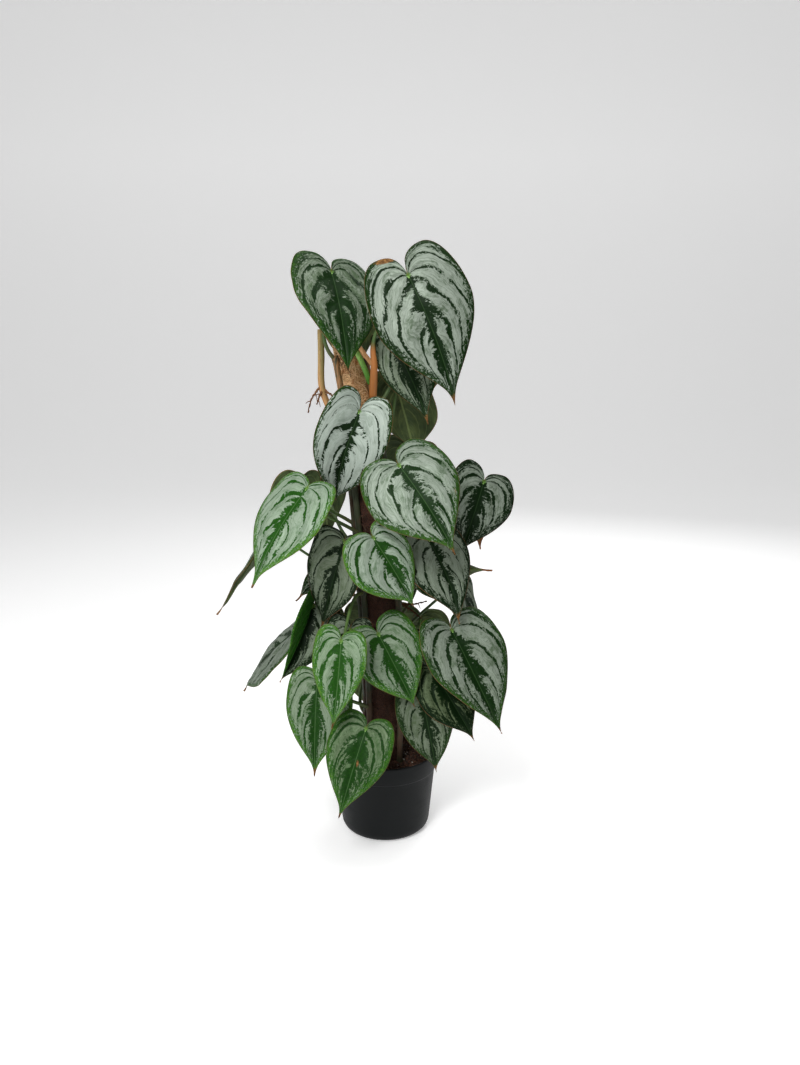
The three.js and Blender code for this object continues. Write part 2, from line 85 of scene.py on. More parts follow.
class Channel:
    """A value that varies over a surface: a node's output, which can be reckoned with."""

    def __init__(self, paint: Paint, socket: bpy.types.NodeSocket) -> None:
        """Wraps one output socket of a paint's node tree."""
        self.paint = paint
        self.socket = socket

    def _math(self, operation: str, *values: float | Channel) -> Channel:
        """Adds one Math node on the given values."""
        return self.paint.node("Math", {"operation": operation}, dict(enumerate(values)))

    def __add__(self, other: float | Channel) -> Channel:
        """Adds."""
        return self._math("ADD", self, other)

    __radd__ = __add__

    def __sub__(self, other: float | Channel) -> Channel:
        """Subtracts."""
        return self._math("SUBTRACT", self, other)

    def __rsub__(self, other: float | Channel) -> Channel:
        """Subtracts from a number."""
        return self._math("SUBTRACT", other, self)

    def __mul__(self, other: float | Channel) -> Channel:
        """Multiplies."""
        return self._math("MULTIPLY", self, other)

    __rmul__ = __mul__

    def __truediv__(self, other: float | Channel) -> Channel:
        """Divides."""
        return self._math("DIVIDE", self, other)

    def __pow__(self, other: float | Channel) -> Channel:
        """Raises to a power."""
        return self._math("POWER", self, other)

    def above(self, other: float | Channel) -> Channel:
        """Gives the larger of the two values."""
        return self._math("MAXIMUM", self, other)

    def whole(self) -> Channel:
        """Gives the nearest whole number."""
        return self._math("ROUND", self)

    def nearest_whole(self) -> Channel:
        """Gives how far the value is from the nearest whole number, 0 to 0.5."""
        return self._math("ABSOLUTE", self - self.whole())

    def ease(self, low: float | Channel, high: float | Channel) -> Channel:
        """Rises smoothly from 0 at low to 1 at high, or falls where high is the lower one."""
        return self.paint.node(
            "MapRange",
            {"interpolation_type": "SMOOTHSTEP"},
            {"Value": self, "From Min": low, "From Max": high},
        )


class Paint:
    """The node tree of one material. One method adds any node."""

    def __init__(self, name: str) -> None:
        """Starts an empty material of that name."""
        self.material = bpy.data.materials.new(name)
        self.material.use_nodes = True
        self.tree = self.material.node_tree
        self.tree.nodes.clear()

    def node(
        self,
        kind: str,
        settings: dict[str, Any] | None = None,
        values: dict[int | str, Any] | None = None,
        output: int | str = 0,
    ) -> Channel:
        """Adds a node.

        Args:
            kind: The node's type without ShaderNode in front.
            settings: What is set on the node itself, first of all.
            values: A number, colour or channel for each socket, by its name or index.
            output: The output that is given back.

        Returns:
            The channel at that output.
        """
        made = self.tree.nodes.new(f"ShaderNode{kind}")
        for name, value in (settings or {}).items():
            setattr(made, name, value)
        for key, value in (values or {}).items():
            if isinstance(value, Channel):
                self.tree.links.new(value.socket, made.inputs[key])
            else:
                made.inputs[key].default_value = value
        return Channel(self, made.outputs[output])

    def blend(self, share: Channel, below: Colour | Channel, above: Colour | Channel) -> Channel:
        """Mixes two colours, the second one by the share."""
        return self.node("Mix", {"data_type": "RGBA"}, {0: share, 6: below, 7: above}, 2)

    def place(self) -> Channel:
        """Gives the point on the object, in metres."""
        return self.node("TexCoord", output="Object")

    def height(self) -> Channel:
        """Gives the height over the ground, in millimetres."""
        return self.node("SeparateXYZ", values={0: self.place()}, output="Z") * 1000

    def value(self, name: str) -> Channel:
        """Gives an attribute of the mesh."""
        return self.node("Attribute", {"attribute_name": name}, output="Fac")

    def pair(self, name: str) -> tuple[Channel, Channel]:
        """Gives the two numbers of a UV map."""
        both = self.node("UVMap", {"uv_map": name})
        split = self.node("SeparateXYZ", values={0: both})
        return split, Channel(self, split.socket.node.outputs[1])

    def grain(
        self, scale: float, detail: float = 3, at: Channel | None = None, rough: float = 0.55
    ) -> Channel:
        """Gives a noise from 0 to 1.

        Args:
            scale: How many times it repeats in a metre, or in a unit of the place given.
            detail: How many finer layers it has.
            at: The place that it is read at, or the object's own.
            rough: How strong the finer layers are.

        Returns:
            The noise.
        """
        values = {"Vector": at or self.place(), "Scale": scale, "Detail": detail, "Roughness": rough}
        return self.node("TexNoise", values=values)

    def spot(self, across: float | Channel, along: float | Channel, deep: float | Channel = 0.0) -> Channel:
        """Puts three numbers together as a place."""
        return self.node("CombineXYZ", values={0: across, 1: along, 2: deep})

    def surface(
        self,
        colour: Channel | Colour,
        roughness: Channel | float,
        height: Channel | None = None,
        depth: float = 0.3,
        fixed: dict[str, Any] | None = None,
    ) -> bpy.types.Material:
        """Closes the tree with its shader.

        Args:
            colour: The base colour.
            roughness: The roughness.
            height: What stands out of the surface, 0 to 1.
            depth: How far it stands out, in millimetres.
            fixed: Values of the shader's other sockets.

        Returns:
            The finished material.
        """
        values: dict[int | str, Any] = {"Base Color": colour, "Roughness": roughness, **(fixed or {})}
        if height is not None:
            bump = {"Height": height, "Strength": 1.0, "Distance": depth * MM}
            values["Normal"] = self.node("Bump", values=bump)
        shader = self.node("BsdfPrincipled", values=values)
        self._close(shader)
        return self.material

    def _close(self, shader: Channel) -> None:
        """Leads the shader to the material's output."""
        end = self.tree.nodes.new("ShaderNodeOutputMaterial")
        self.tree.links.new(shader.socket, end.inputs["Surface"])


@dataclass(frozen=True)
class BladeFinish:
    """The upper face of a leaf: silver between the veins, green along them and round the margin."""

    silver: Colour = tint(141, 150, 140)
    streak: Colour = tint(78, 90, 76)
    fresh_silver: Colour = tint(134, 158, 126)
    # Painted light: the paler silver of leaves that catch the most light.
    lit_silver: Colour = tint(176, 187, 178)
    # Painted shade: the darker olive grey silver of leaves that lie in shadow.
    shaded_silver: Colour = tint(78, 92, 62)
    lime: Colour = tint(88, 128, 48)
    green: Colour = tint(10, 28, 7)
    fresh_green: Colour = tint(36, 84, 20)
    midrib: Colour = tint(74, 104, 62)
    petiole: Colour = tint(104, 142, 66)
    rim: Colour = tint(122, 86, 58)
    dry: Colour = tint(154, 114, 66)
    burnt: Colour = tint(90, 62, 36)

    def material(self) -> bpy.types.Material:
        """Makes the material, which follows the veins and form maps of a blade.

        Returns:
            The material.
        """
        paint = Paint("blade")
        vein, out = paint.pair("veins")
        rib, edge = paint.pair("form")
        silver_share, fresh, dry, tipward, seed = (
            paint.value(name) for name in ("silver", "fresh", "dry", "tipward", "seed")
        )
        wander = paint.grain(1, 2, paint.spot(vein * 0.9, out * 0.03, seed + 11)) - 0.5
        vein = vein + wander * 1.3
        spurs = paint.grain(1, 1, paint.spot(vein * 2.4, out * 0.03, seed + 15)) - 0.5
        flames = paint.grain(1, 3, paint.spot(vein * 4, out * 0.05, seed), 0.6) - 0.5
        teeth = paint.grain(1, 4, paint.spot(vein * 7, out * 0.4, seed + 4), 0.75) - 0.5
        lines = paint.grain(1, 1, paint.spot(vein.whole() * 7.3, out * 0.05, seed + 7)) - 0.5
        hairs = paint.grain(1, 4, paint.spot(vein * 15, out * 0.05, seed + 9), 0.75)
        specks = paint.grain(420, 3, rough=0.75) - 0.5
        clouds = paint.grain(34, 2)

        rib_width = 2.4 + (11 - 5 * silver_share) * tipward.ease(-0.05, 0.25) * tipward.ease(1.05, 0.4)
        rib_width = rib_width * (1 + 3.2 * spurs)
        at_rib = rib.ease(rib_width, 0) * 1.2
        at_vein = vein.nearest_whole().ease(0.2 - 0.05 * silver_share, 0) * (1.0 + 3.4 * lines)
        at_edge = edge.ease(13 - 3 * silver_share, 0) * (0.8 + 0.25 * silver_share)
        near = at_rib.above(at_vein).above(at_edge)
        ragged = flames * 2.4 + teeth * 4.6 + specks * (1.0 + 2.4 * at_edge)
        reach = (near * (1.3 - near) * 2.2).above(0) + 0.2
        deep = near + reach * ragged - (0.26 + 0.34 * silver_share)
        # Painted shade: a share for each leaf that darkens the leaves lying in shadow and softens their pattern.
        dull = paint.value("dull")
        green_share = deep.ease(-0.04 - 0.26 * dull - 0.14 * fresh, 0.05 + 0.12 * dull + 0.06 * fresh)
        thin_silver = deep.ease(-0.4, 0.0) * 0.5

        veil = paint.grain(1, 4, paint.spot(vein * 1.7, out * 0.07, seed + 19), 0.7).ease(0.48, 0.68) * 0.7
        strokes = paint.grain(1, 3, paint.spot(vein * 34, out * 0.16, seed + 23), 0.7).ease(0.5, 0.66)
        stipple = (specks + teeth * 0.5).ease(0.1, 0.24)
        pale = paint.blend(
            hairs.ease(0.46, 0.6) * 0.45 + thin_silver + veil + strokes * 0.4, self.silver, self.streak
        )
        pale = paint.blend(stipple * (0.3 + 0.2 * fresh), pale, self.streak)
        # Painted light: the silver turns paler by the leaf's share of painted light.
        pale = paint.blend(paint.value("bright"), pale, self.lit_silver)
        # Painted shade: the silver darkens to olive grey by the leaf's share of painted shade.
        pale = paint.blend(dull, pale, self.shaded_silver)
        young = fresh * fresh
        pale = paint.blend(young * (0.35 + 0.4 * clouds) + fresh * at_edge * 0.5, pale, self.fresh_silver)
        mottle = (veil + hairs.ease(0.46, 0.62) * 0.45) * 0.55 * fresh
        pale = paint.blend(mottle, pale, self.fresh_green)
        dark = paint.blend(young * 0.55 + fresh * (0.15 + 1.2 * specks + 0.8 * at_edge), self.green, self.fresh_green)
        flecks = (specks * 1.4 + teeth * 1.2 + at_edge * 0.5).ease(0.2, 0.6)
        dark = paint.blend(flecks * fresh * 0.75, dark, self.lime)
        colour = paint.blend(green_share, pale, dark)
        colour = paint.blend(rib.ease(0.6, 0.25) * (0.15 + 0.6 * fresh), colour, self.midrib)
        colour = paint.blend(out.ease(3.4, 0.8) * 0.8, colour, self.petiole)
        colour = paint.blend(edge.ease(0.5, 0.25) * (0.75 - 0.4 * fresh), colour, self.rim)
        scorch = (dry + specks * 0.7 * dry.ease(0, 0.3)).ease(0.35, 0.6)
        colour = paint.blend(scorch, colour, paint.blend((specks + 0.4).ease(0.3, 0.7), self.burnt, self.dry))
        roughness = 0.42 - 0.06 * green_share + 0.14 * hairs + 0.25 * scorch
        relief = hairs * 0.35 + specks * 0.15 - vein.nearest_whole().ease(0.05, 0) * 0.5 - rib.ease(1.0, 0.2) * 0.6
        sheen = (1 - green_share) * 0.2 * (1 - scorch)
        return paint.surface(colour, roughness, relief, 0.28, {"Specular IOR Level": 0.07, "Metallic": sheen})


@dataclass(frozen=True)
class UndersideFinish:
    """The lower face of a leaf: muted olive green with paler veins."""

    olive: Colour = tint(84, 98, 58)
    dark: Colour = tint(58, 72, 44)
    vein: Colour = tint(122, 138, 84)
    dry: Colour = tint(146, 92, 52)

    def material(self) -> bpy.types.Material:
        """Makes the material, which follows the same maps as the upper face.

        Returns:
            The material.
        """
        paint = Paint("blade_underside")
        vein, out = paint.pair("veins")
        rib, edge = paint.pair("form")
        dry = paint.value("dry")
        fine = paint.grain(1, 3, paint.spot(vein * 12, out * 0.1), 0.6)
        clouds = paint.grain(60, 3)
        line = (16 * vein.nearest_whole()).ease(0.9, 0.2) * rib.ease(1, 4)
        colour = paint.blend((clouds * 0.6 + fine * 0.4).ease(0.38, 0.62), self.dark, self.olive)
        colour = paint.blend(line * 0.35 + rib.ease(1.6, 0.6) * 0.6, colour, self.vein)
        colour = paint.blend(edge.ease(0.7, 0.3) * 0.6, colour, self.dry)
        colour = paint.blend((dry + (clouds - 0.5) * 0.5 * dry.ease(0, 0.3)).ease(0.35, 0.6), colour, self.dry)
        relief = line * 0.7 + fine * 0.3
        return paint.surface(colour, 0.55 + 0.15 * fine, relief, 0.3, {"Specular IOR Level": 0.15})


@dataclass(frozen=True)
class StalkFinish:
    """The skin of a leaf stalk: green, brown where it leaves its stem."""

    green: Colour = tint(44, 64, 30)
    light: Colour = tint(84, 116, 46)
    foot: Colour = tint(76, 60, 38)
    papery: Colour = tint(172, 108, 50)

    def material(self) -> bpy.types.Material:
        """Makes the material, which follows the share of the way along the stalk.

        Returns:
            The material.
        """
        paint = Paint("stalk")
        along, fresh, papery = (paint.value(name) for name in ("along", "fresh", "papery"))
        fibres = paint.grain(1, 3, paint.spot(along * 3, paint.grain(900, 2) * 3), 0.6)
        colour = paint.blend(fibres * 0.6 + fresh * 0.4, self.green, self.light)
        colour = paint.blend(along.ease(0.35, 0.0) * (0.35 + fibres * 0.6), colour, self.foot)
        colour = paint.blend(along.ease(0.93, 1.0), colour, tint(126, 168, 84))
        colour = paint.blend(papery * along.ease(0.62, 0.5), colour, self.papery)
        return paint.surface(colour, 0.5 + fibres * 0.15, fibres, 0.15)


@dataclass(frozen=True)
class StemFinish:
    """The skin of a climbing stem: olive green with brown corky patches."""

    green: Colour = tint(30, 40, 20)
    olive: Colour = tint(54, 60, 30)
    cork: Colour = tint(70, 52, 34)
    tan: Colour = tint(146, 104, 62)

    def material(self) -> bpy.types.Material:
        """Makes the material.

        Returns:
            The material.
        """
        paint = Paint("stem")
        stretched = paint.node("Mapping", values={"Vector": paint.place(), "Scale": (1, 1, 0.12)})
        lines = paint.grain(700, 4, stretched, 0.6)
        patches = paint.grain(70, 4, rough=0.6)
        colour = paint.blend(lines, self.green, self.olive)
        cork = (patches + paint.value("cork") * 0.3).ease(0.6, 0.78)
        colour = paint.blend(cork, colour, self.cork)
        dry = (paint.height() + patches * 60).ease(470, 505) * lines.ease(0.35, 0.62)
        colour = paint.blend(dry, colour, self.tan)
        return paint.surface(colour, 0.6 + 0.2 * cork, lines * 0.5 + patches, 0.5)


@dataclass(frozen=True)
class CoirFinish:
    """Coir on the pole: dark red-brown where it is moist, tan towards its dry top, whose tan is partly the dry coir's
    own colour and partly painted light.
    """

    moist: Colour = tint(40, 23, 16)
    moist_light: Colour = tint(92, 54, 36)
    lit_dry_dark: Colour = tint(126, 76, 42)
    dry: Colour = tint(196, 134, 78)
    lit_dry_pale: Colour = tint(232, 184, 126)
    shade: float = 1.0

    def material(self, name: str) -> bpy.types.Material:
        """Makes the material under that name.

        Args:
            name: The material's name.

        Returns:
            The material.
        """
        paint = Paint(name)
        hairs = paint.grain(900, 4, rough=0.7)
        tufts = paint.grain(120, 3)
        low = paint.blend(hairs.ease(0.35, 0.7) * self.shade, self.moist, self.moist_light)
        # Painted light: the colours of the dry top are brightened so that it looks lit.
        high = paint.blend(hairs.ease(0.34, 0.56) * self.shade, self.lit_dry_dark, self.dry)
        high = paint.blend((tufts + hairs - 0.6).ease(0.3, 0.6) * self.shade, high, self.lit_dry_pale)
        high = paint.blend(paint.value("tone"), high, self.lit_dry_pale)
        # Towards the top the coir turns dry and tan, with painted light in its colours.
        dryness = (paint.height() + tufts * 60).ease(425, 520)
        colour = paint.blend(dryness, low, high)
        return paint.surface(colour, 0.9, hairs + tufts, 1.2)


@dataclass(frozen=True)
class MixFinish:
    """Dark potting mix with fine lighter crumbs."""

    dark: Colour = tint(40, 25, 18)
    light: Colour = tint(112, 74, 52)
    name: str = "potting_mix"

    def material(self) -> bpy.types.Material:
        """Makes the material.

        Returns:
            The material.
        """
        paint = Paint(self.name)
        crumbs = paint.grain(420, 5, rough=0.7)
        lumps = paint.grain(90, 3)
        colour = paint.blend((crumbs * 0.7 + lumps * 0.3).ease(0.42, 0.7), self.dark, self.light)
        return paint.surface(colour, 0.88, crumbs + lumps * 0.5, 1.0)


@dataclass(frozen=True)
class PerliteFinish:
    """White crumbs of perlite."""

    white: Colour = tint(226, 222, 214)
    grey: Colour = tint(168, 158, 146)

    def material(self) -> bpy.types.Material:
        """Makes the material.

        Returns:
            The material.
        """
        paint = Paint("perlite")
        pores = paint.grain(1400, 4, rough=0.7)
        return paint.surface(paint.blend(pores.ease(0.4, 0.7), self.white, self.grey), 0.85, pores, 0.3)


@dataclass(frozen=True)
class PotFinish:
    """Matt charcoal plastic, finely moulded, with a little dust and rub."""

    plastic: Colour = tint(13, 16, 17)
    rubbed: Colour = tint(26, 29, 30)

    def material(self) -> bpy.types.Material:
        """Makes the material.

        Returns:
            The material.
        """
        paint = Paint("pot_plastic")
        fine = paint.grain(2600, 2)
        dust = paint.grain(46, 4, rough=0.65)
        streaks = paint.grain(30, 3, paint.node("Mapping", values={"Vector": paint.place(), "Scale": (1, 1, 9)}))
        wear = (dust * 0.6 + streaks * 0.4).ease(0.48, 0.72)
        colour = paint.blend(wear * 0.4, self.plastic, self.rubbed)
        return paint.surface(colour, 0.46 + 0.14 * wear + 0.08 * fine, fine, 0.06, {"Specular IOR Level": 0.14})


@dataclass(frozen=True)
class SkinFinish:
    """A plain plant skin that goes from one colour to another along the piece."""

    name: str
    foot: Colour
    tip: Colour
    line: Colour
    roughness: float = 0.5
    aside: Colour = tint(80, 92, 40)

    def material(self) -> bpy.types.Material:
        """Makes the material, which follows the share of the way along the piece.

        Returns:
            The material.
        """
        paint = Paint(self.name)
        along = paint.value("along")
        stretched = paint.node("Mapping", values={"Vector": paint.place(), "Scale": (1, 1, 0.15)})
        lines = paint.grain(900, 4, stretched, 0.7)
        colour = paint.blend(along.ease(0.1, 0.9), self.foot, self.tip)
        colour = paint.blend(paint.value("aside"), colour, self.aside)
        colour = paint.blend(lines.ease(0.46, 0.66) * 0.8, colour, self.line)
        return paint.surface(colour, self.roughness + 0.15 * lines, lines, 0.25)


SHOOT = SkinFinish("shoot", tint(92, 158, 56), tint(156, 190, 96), tint(66, 122, 42), 0.4)
PAPER = SkinFinish("papery_sheath", tint(186, 136, 88), tint(214, 164, 112), tint(132, 84, 50), 0.8)
STUB = SkinFinish("cut_stub", tint(178, 130, 82), tint(156, 134, 84), tint(116, 88, 52), 0.65)
ROOT = SkinFinish("dry_root", tint(122, 82, 48), tint(90, 56, 34), tint(62, 40, 26), 0.85)
CLINGING = SkinFinish("clinging_root", tint(66, 44, 28), tint(52, 33, 22), tint(36, 24, 16), 0.85)
STAKE = SkinFinish("stake_wood", tint(112, 78, 50), tint(126, 90, 58), tint(74, 50, 32), 0.8)


def ring_frames(path: Sequence[Vector]) -> list[Matrix]:
    """Stands a frame on each point of a path, its third axis along the path, without twist.

    Args:
        path: The points.

    Returns:
        A matrix for each point.
    """
    frames = []
    turn = None
    last = len(path) - 1
    for index, point in enumerate(path):
        ahead = (path[min(index + 1, last)] - path[max(index - 1, 0)]).normalized()
        if turn is None:
            turn = Vector((0, 0, 1)).rotation_difference(ahead)
        else:
            turn = (turn @ Vector((0, 0, 1))).rotation_difference(ahead) @ turn
        frames.append(Matrix.Translation(point) @ turn.to_matrix().to_4x4())
    return frames


def sweep(
    mesh: bmesh.types.BMesh,
    path: Sequence[Vector],
    radius_at: Callable[[float], float],
    sides: int,
    material: int = 0,
    flatten: Callable[[float], float] | None = None,
) -> list[bmesh.types.BMFace]:
    """Draws a ring along a path as a closed tube, ring by ring.

    Args:
        mesh: The mesh that the tube is added to.
        path: The points that it follows.
        radius_at: Its radius at a share of the way, 0 to 1.
        sides: The number of its sides.
        material: The index of its material.
        flatten: How thin it is across at a share of the way, 1 for round.

    Returns:
        The tube's faces.
    """
    last = len(path) - 1
    stations = []
    for index, stand in enumerate(ring_frames(path)):
        radius = radius_at(index / last)
        thin = flatten(index / last) if flatten else 1.0
        stations.append(stand @ Matrix.Diagonal((radius, radius * thin, radius, 1)))
    along = mesh.verts.layers.float.get("along") or mesh.verts.layers.float.new("along")
    before = set(mesh.faces)
    ring = bmesh.ops.create_circle(mesh, cap_ends=True, segments=sides, radius=1, matrix=stations[0])["verts"]
    edges = list({edge for vert in ring for edge in vert.link_edges})
    for index in range(1, last + 1):
        grown = bmesh.ops.extrude_edge_only(mesh, edges=edges)["geom"]
        ring = [part for part in grown if isinstance(part, bmesh.types.BMVert)]
        held = set(ring)
        edges = [part for part in grown if isinstance(part, bmesh.types.BMEdge) and held.issuperset(part.verts)]
        bmesh.ops.transform(mesh, matrix=stations[index] @ stations[index - 1].inverted(), verts=ring)
        for vert in ring:
            vert[along] = index / last
    bmesh.ops.contextual_create(mesh, geom=edges)
    made = [face for face in mesh.faces if face not in before]
    bmesh.ops.recalc_face_normals(mesh, faces=made)
    for face in made:
        face.material_index = material
        face.smooth = len(face.verts) == 4
    return made


def along_points(points: Sequence[Point | Vector], count: int) -> list[Vector]:
    """Draws a smooth line through points.

    Args:
        points: The points that it passes.
        count: How many points it gets in all.

    Returns:
        The points of the line.
    """
    knots = [Vector(point) for point in points]
    knots = [2 * knots[0] - knots[1], *knots, 2 * knots[-1] - knots[-2]]
    spans = len(knots) - 3
    line = []
    for index in range(count):
        place = index / (count - 1) * spans
        span = min(int(place), spans - 1)
        share = place - span
        a, b, c, d = knots[span : span + 4]
        line.append(
            0.5
            * (
                2 * b
                + (c - a) * share
                + (2 * a - 5 * b + 4 * c - d) * share**2
                + (3 * b - a - 3 * c + d) * share**3
            )
        )
    return line


def bezier(ends: Sequence[Vector], share: float) -> Vector:
    """Gives a point of a Bezier curve.

    Args:
        ends: Its control points.
        share: How far along it the point is, 0 to 1.

    Returns:
        The point.
    """
    points = list(ends)
    while len(points) > 1:
        points = [a.lerp(b, share) for a, b in zip(points, points[1:])]
    return points[0]


def settle(
    name: str,
    mesh: bmesh.types.BMesh | bpy.types.Mesh,
    materials: Iterable[bpy.types.Material],
    nodes: Sequence[str] = (),
) -> bpy.types.Object:
    """Puts a piece that was made in millimetres into the scene.

    Args:
        name: The piece's name.
        mesh: Its form.
        materials: Its materials, in the order of their indices.
        nodes: The solids that it replaces.

    Returns:
        The piece.
    """
    if isinstance(mesh, bmesh.types.BMesh):
        form = bpy.data.meshes.new(name)
        mesh.to_mesh(form)
        mesh.free()
    else:
        form = mesh
        form.name = name
    form.transform(Matrix.Scale(MM, 4))
    for material in materials:
        form.materials.append(material)
    piece = bpy.data.objects.new(name, form)
    bpy.context.scene.collection.objects.link(piece)
    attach(piece, "root")
    if nodes:
        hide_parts(*nodes)
    log.info("%s: %d faces", name, len(form.polygons))
    return piece


class Strands:
    """Many thin threads as one mesh, drawn as the lines of a bevelled curve, each in a tone of its own."""

    corners: int = 4

    def __init__(self) -> None:
        """Starts with no thread."""
        self.curve = bpy.data.curves.new("strands", "CURVE")
        self.curve.dimensions = "3D"
        self.curve.bevel_depth = 1.0
        self.curve.bevel_resolution = 0
        self.curve.use_fill_caps = True
        self.tones: list[float] = []
        self.draw = random.Random("strand tones")

    def add(self, path: Sequence[Vector], radius: float) -> None:
        """Adds a thread that thins towards its end.

        Args:
            path: Its points.
            radius: Its radius at the start.
        """
        spline = self.curve.splines.new("POLY")
        spline.points.add(len(path) - 1)
        for index, (point, place) in enumerate(zip(spline.points, path)):
            point.co = (*place, 1)
            point.radius = radius * (1 - 0.55 * index / (len(path) - 1))
        self.tones += [self.draw.random()] * (len(path) * self.corners)

    def mesh(self) -> bpy.types.Mesh:
        """Turns the threads into a mesh.

        Returns:
            The mesh.
        """
        holder = bpy.data.objects.new("strands", self.curve)
        bpy.context.scene.collection.objects.link(holder)
        graph = bpy.context.evaluated_depsgraph_get()
        made = bpy.data.meshes.new_from_object(holder.evaluated_get(graph))
        bpy.data.objects.remove(holder)
        bpy.data.curves.remove(self.curve)
        tone = made.attributes.new("tone", "FLOAT", "POINT")
        caps = [0.5] * (len(made.vertices) - len(self.tones))
        tone.data.foreach_set("value", caps + self.tones)
        return made


def pole_centre(height: float) -> Vector:
    """Gives the middle of the pole, which leans to the left towards its top.

    Args:
        height: The height over the ground.

    Returns:
        The point.
    """
    share = max(0.0, (height - SOIL_TOP) / (POLE_TOP - SOIL_TOP))
    return Vector((-1 - 40 * share**2.6, 0, height))


def pole_radius(height: float) -> float:
    """Gives the pole's radius, which is less towards its top.

    Args:
        height: The height over the ground.

    Returns:
        The radius.
    """
    return 21.5 - 8 * max(0.0, (height - 250) / (POLE_TOP - 250)) ** 1.5


@dataclass(frozen=True)
class Climb:
    """The way of a stem up the pole."""

    name: str
    turns: tuple[float, float]
    top: float
    free: tuple[Point, ...] = ()
    foot: float = 46.0

    def at(self, height: float) -> Vector:
        """Gives a point of the stem against the pole.

        Args:
            height: The height over the ground.

        Returns:
            The point.
        """
        share = (height - self.foot) / (self.top - self.foot)
        turn = math.radians(self.turns[0] + (self.turns[1] - self.turns[0]) * share)
        reach = pole_radius(height) + STEM_RADIUS + 0.3
        return pole_centre(height) + Vector((math.sin(turn), -math.cos(turn), 0)) * reach


class Side(Enum):
    """The four stems, named after the side of the pole that they climb."""

    FRONT_LEFT = Climb("stem_front_left", (-38, -52), 540)
    FRONT_RIGHT = Climb("stem_front_right", (42, 62), 510)
    BACK_RIGHT = Climb("stem_back_right", (140, 118), 538)
    BACK_LEFT = Climb(
        "stem_back_left",
        (-128, -98),
        438,
        ((-48, 3, 460), (-59, 1, 484), (-67, 0, 508), (-67, 0, 540), (-67, 0, 567.5)),
    )


@dataclass(frozen=True)
class Mark:
    """A dry patch on a blade."""

    side: int
    run: float
    reach: float
    length: float
    width: float
    depth: float = 1.0


@dataclass(frozen=True)
class Look:
    """How a leaf differs from the usual one in colour."""

    silver: float = 0.5
    fresh: float = 0.15
    tip: float = 6.0
    # Painted shade: how far the leaf is darkened as if it lay in shadow.
    dull: float = 0.15
    # Painted light: how far the leaf's silver is paled as if it lay in full light.
    bright: float = 0.0
    papery: float = 0.0
    # The silver and fresh shares of the blade's left half. On leaf_low_folded they make that half bright green: partly
    # its own green, partly painted light on a half that faces away from the light.
    left: tuple[float, float] | None = None
    marks: tuple[Mark, ...] = ()


# Each leaf's shares below include painted shade for leaves in shadow and painted light for leaves in full light.
LOOKS: dict[str, Look] = {
    "leaf_top_left": Look(silver=-0.35, fresh=0.3, dull=0.35),
    "leaf_top_right": Look(silver=0.35, fresh=0.08, tip=9, dull=0.15, bright=0, papery=1, marks=(Mark(-1, 0.16, 0.86, 16, 4.5),)),
    "leaf_upper_shaded": Look(silver=0.35, fresh=0.05, tip=8, dull=0.5),
    "leaf_silver": Look(silver=0.9, fresh=0.12, tip=3, dull=0, bright=0.45),
    "leaf_middle_front": Look(silver=0.6, fresh=0.35, dull=0.12, bright=0, marks=(Mark(1, 0.6, 0.93, 9, 4, 0.6),)),
    "leaf_middle_right": Look(silver=0.0, fresh=0.0, dull=0.2),
    "leaf_middle_left": Look(silver=0.6, fresh=0.95, tip=4, dull=0, bright=0.3),
    "leaf_edge_on": Look(tip=10),
    "leaf_olive": Look(silver=0.6, fresh=0.0, tip=8, dull=0.6),
    "leaf_centre_front": Look(silver=0.55, fresh=0.72, tip=5, dull=0, bright=0.2),
    "leaf_right_grey": Look(silver=0.7, fresh=0.0, tip=9, dull=0.4),
    "leaf_right_point": Look(tip=12),
    "leaf_right_behind": Look(dull=0.5),
    "leaf_right_curled": Look(tip=26),
    "leaf_left_small": Look(tip=10),
    "leaf_low_far_left": Look(silver=0.6, fresh=0.3, tip=8, dull=0.25),
    "leaf_low_folded": Look(silver=0.2, fresh=0.05, dull=0.5, left=(-1.5, 2.2)),
    "leaf_low_dark": Look(silver=0.1, fresh=0.0, dull=0.5),
    "leaf_low_bright": Look(silver=0.3, fresh=0.95, tip=6, dull=0.4),
    "leaf_low_centre": Look(silver=0.15, fresh=0.75, tip=4, dull=0.35),
    "leaf_low_right": Look(silver=0.25, fresh=0.25, tip=6, dull=0.25),
    "leaf_low_right_shaded": Look(silver=-0.3, fresh=0.0, tip=6, dull=0.9),
    "leaf_pot_left": Look(silver=0.3, fresh=0.7, tip=8, dull=0.5),
    "leaf_pot_front": Look(silver=-0.2, fresh=0.65, tip=5, dull=0.9, marks=(Mark(1, 0.66, 0.1, 4.5, 2.2),)),
    "leaf_pot_right": Look(silver=0.5, fresh=0.15, tip=8, dull=0.6),
}


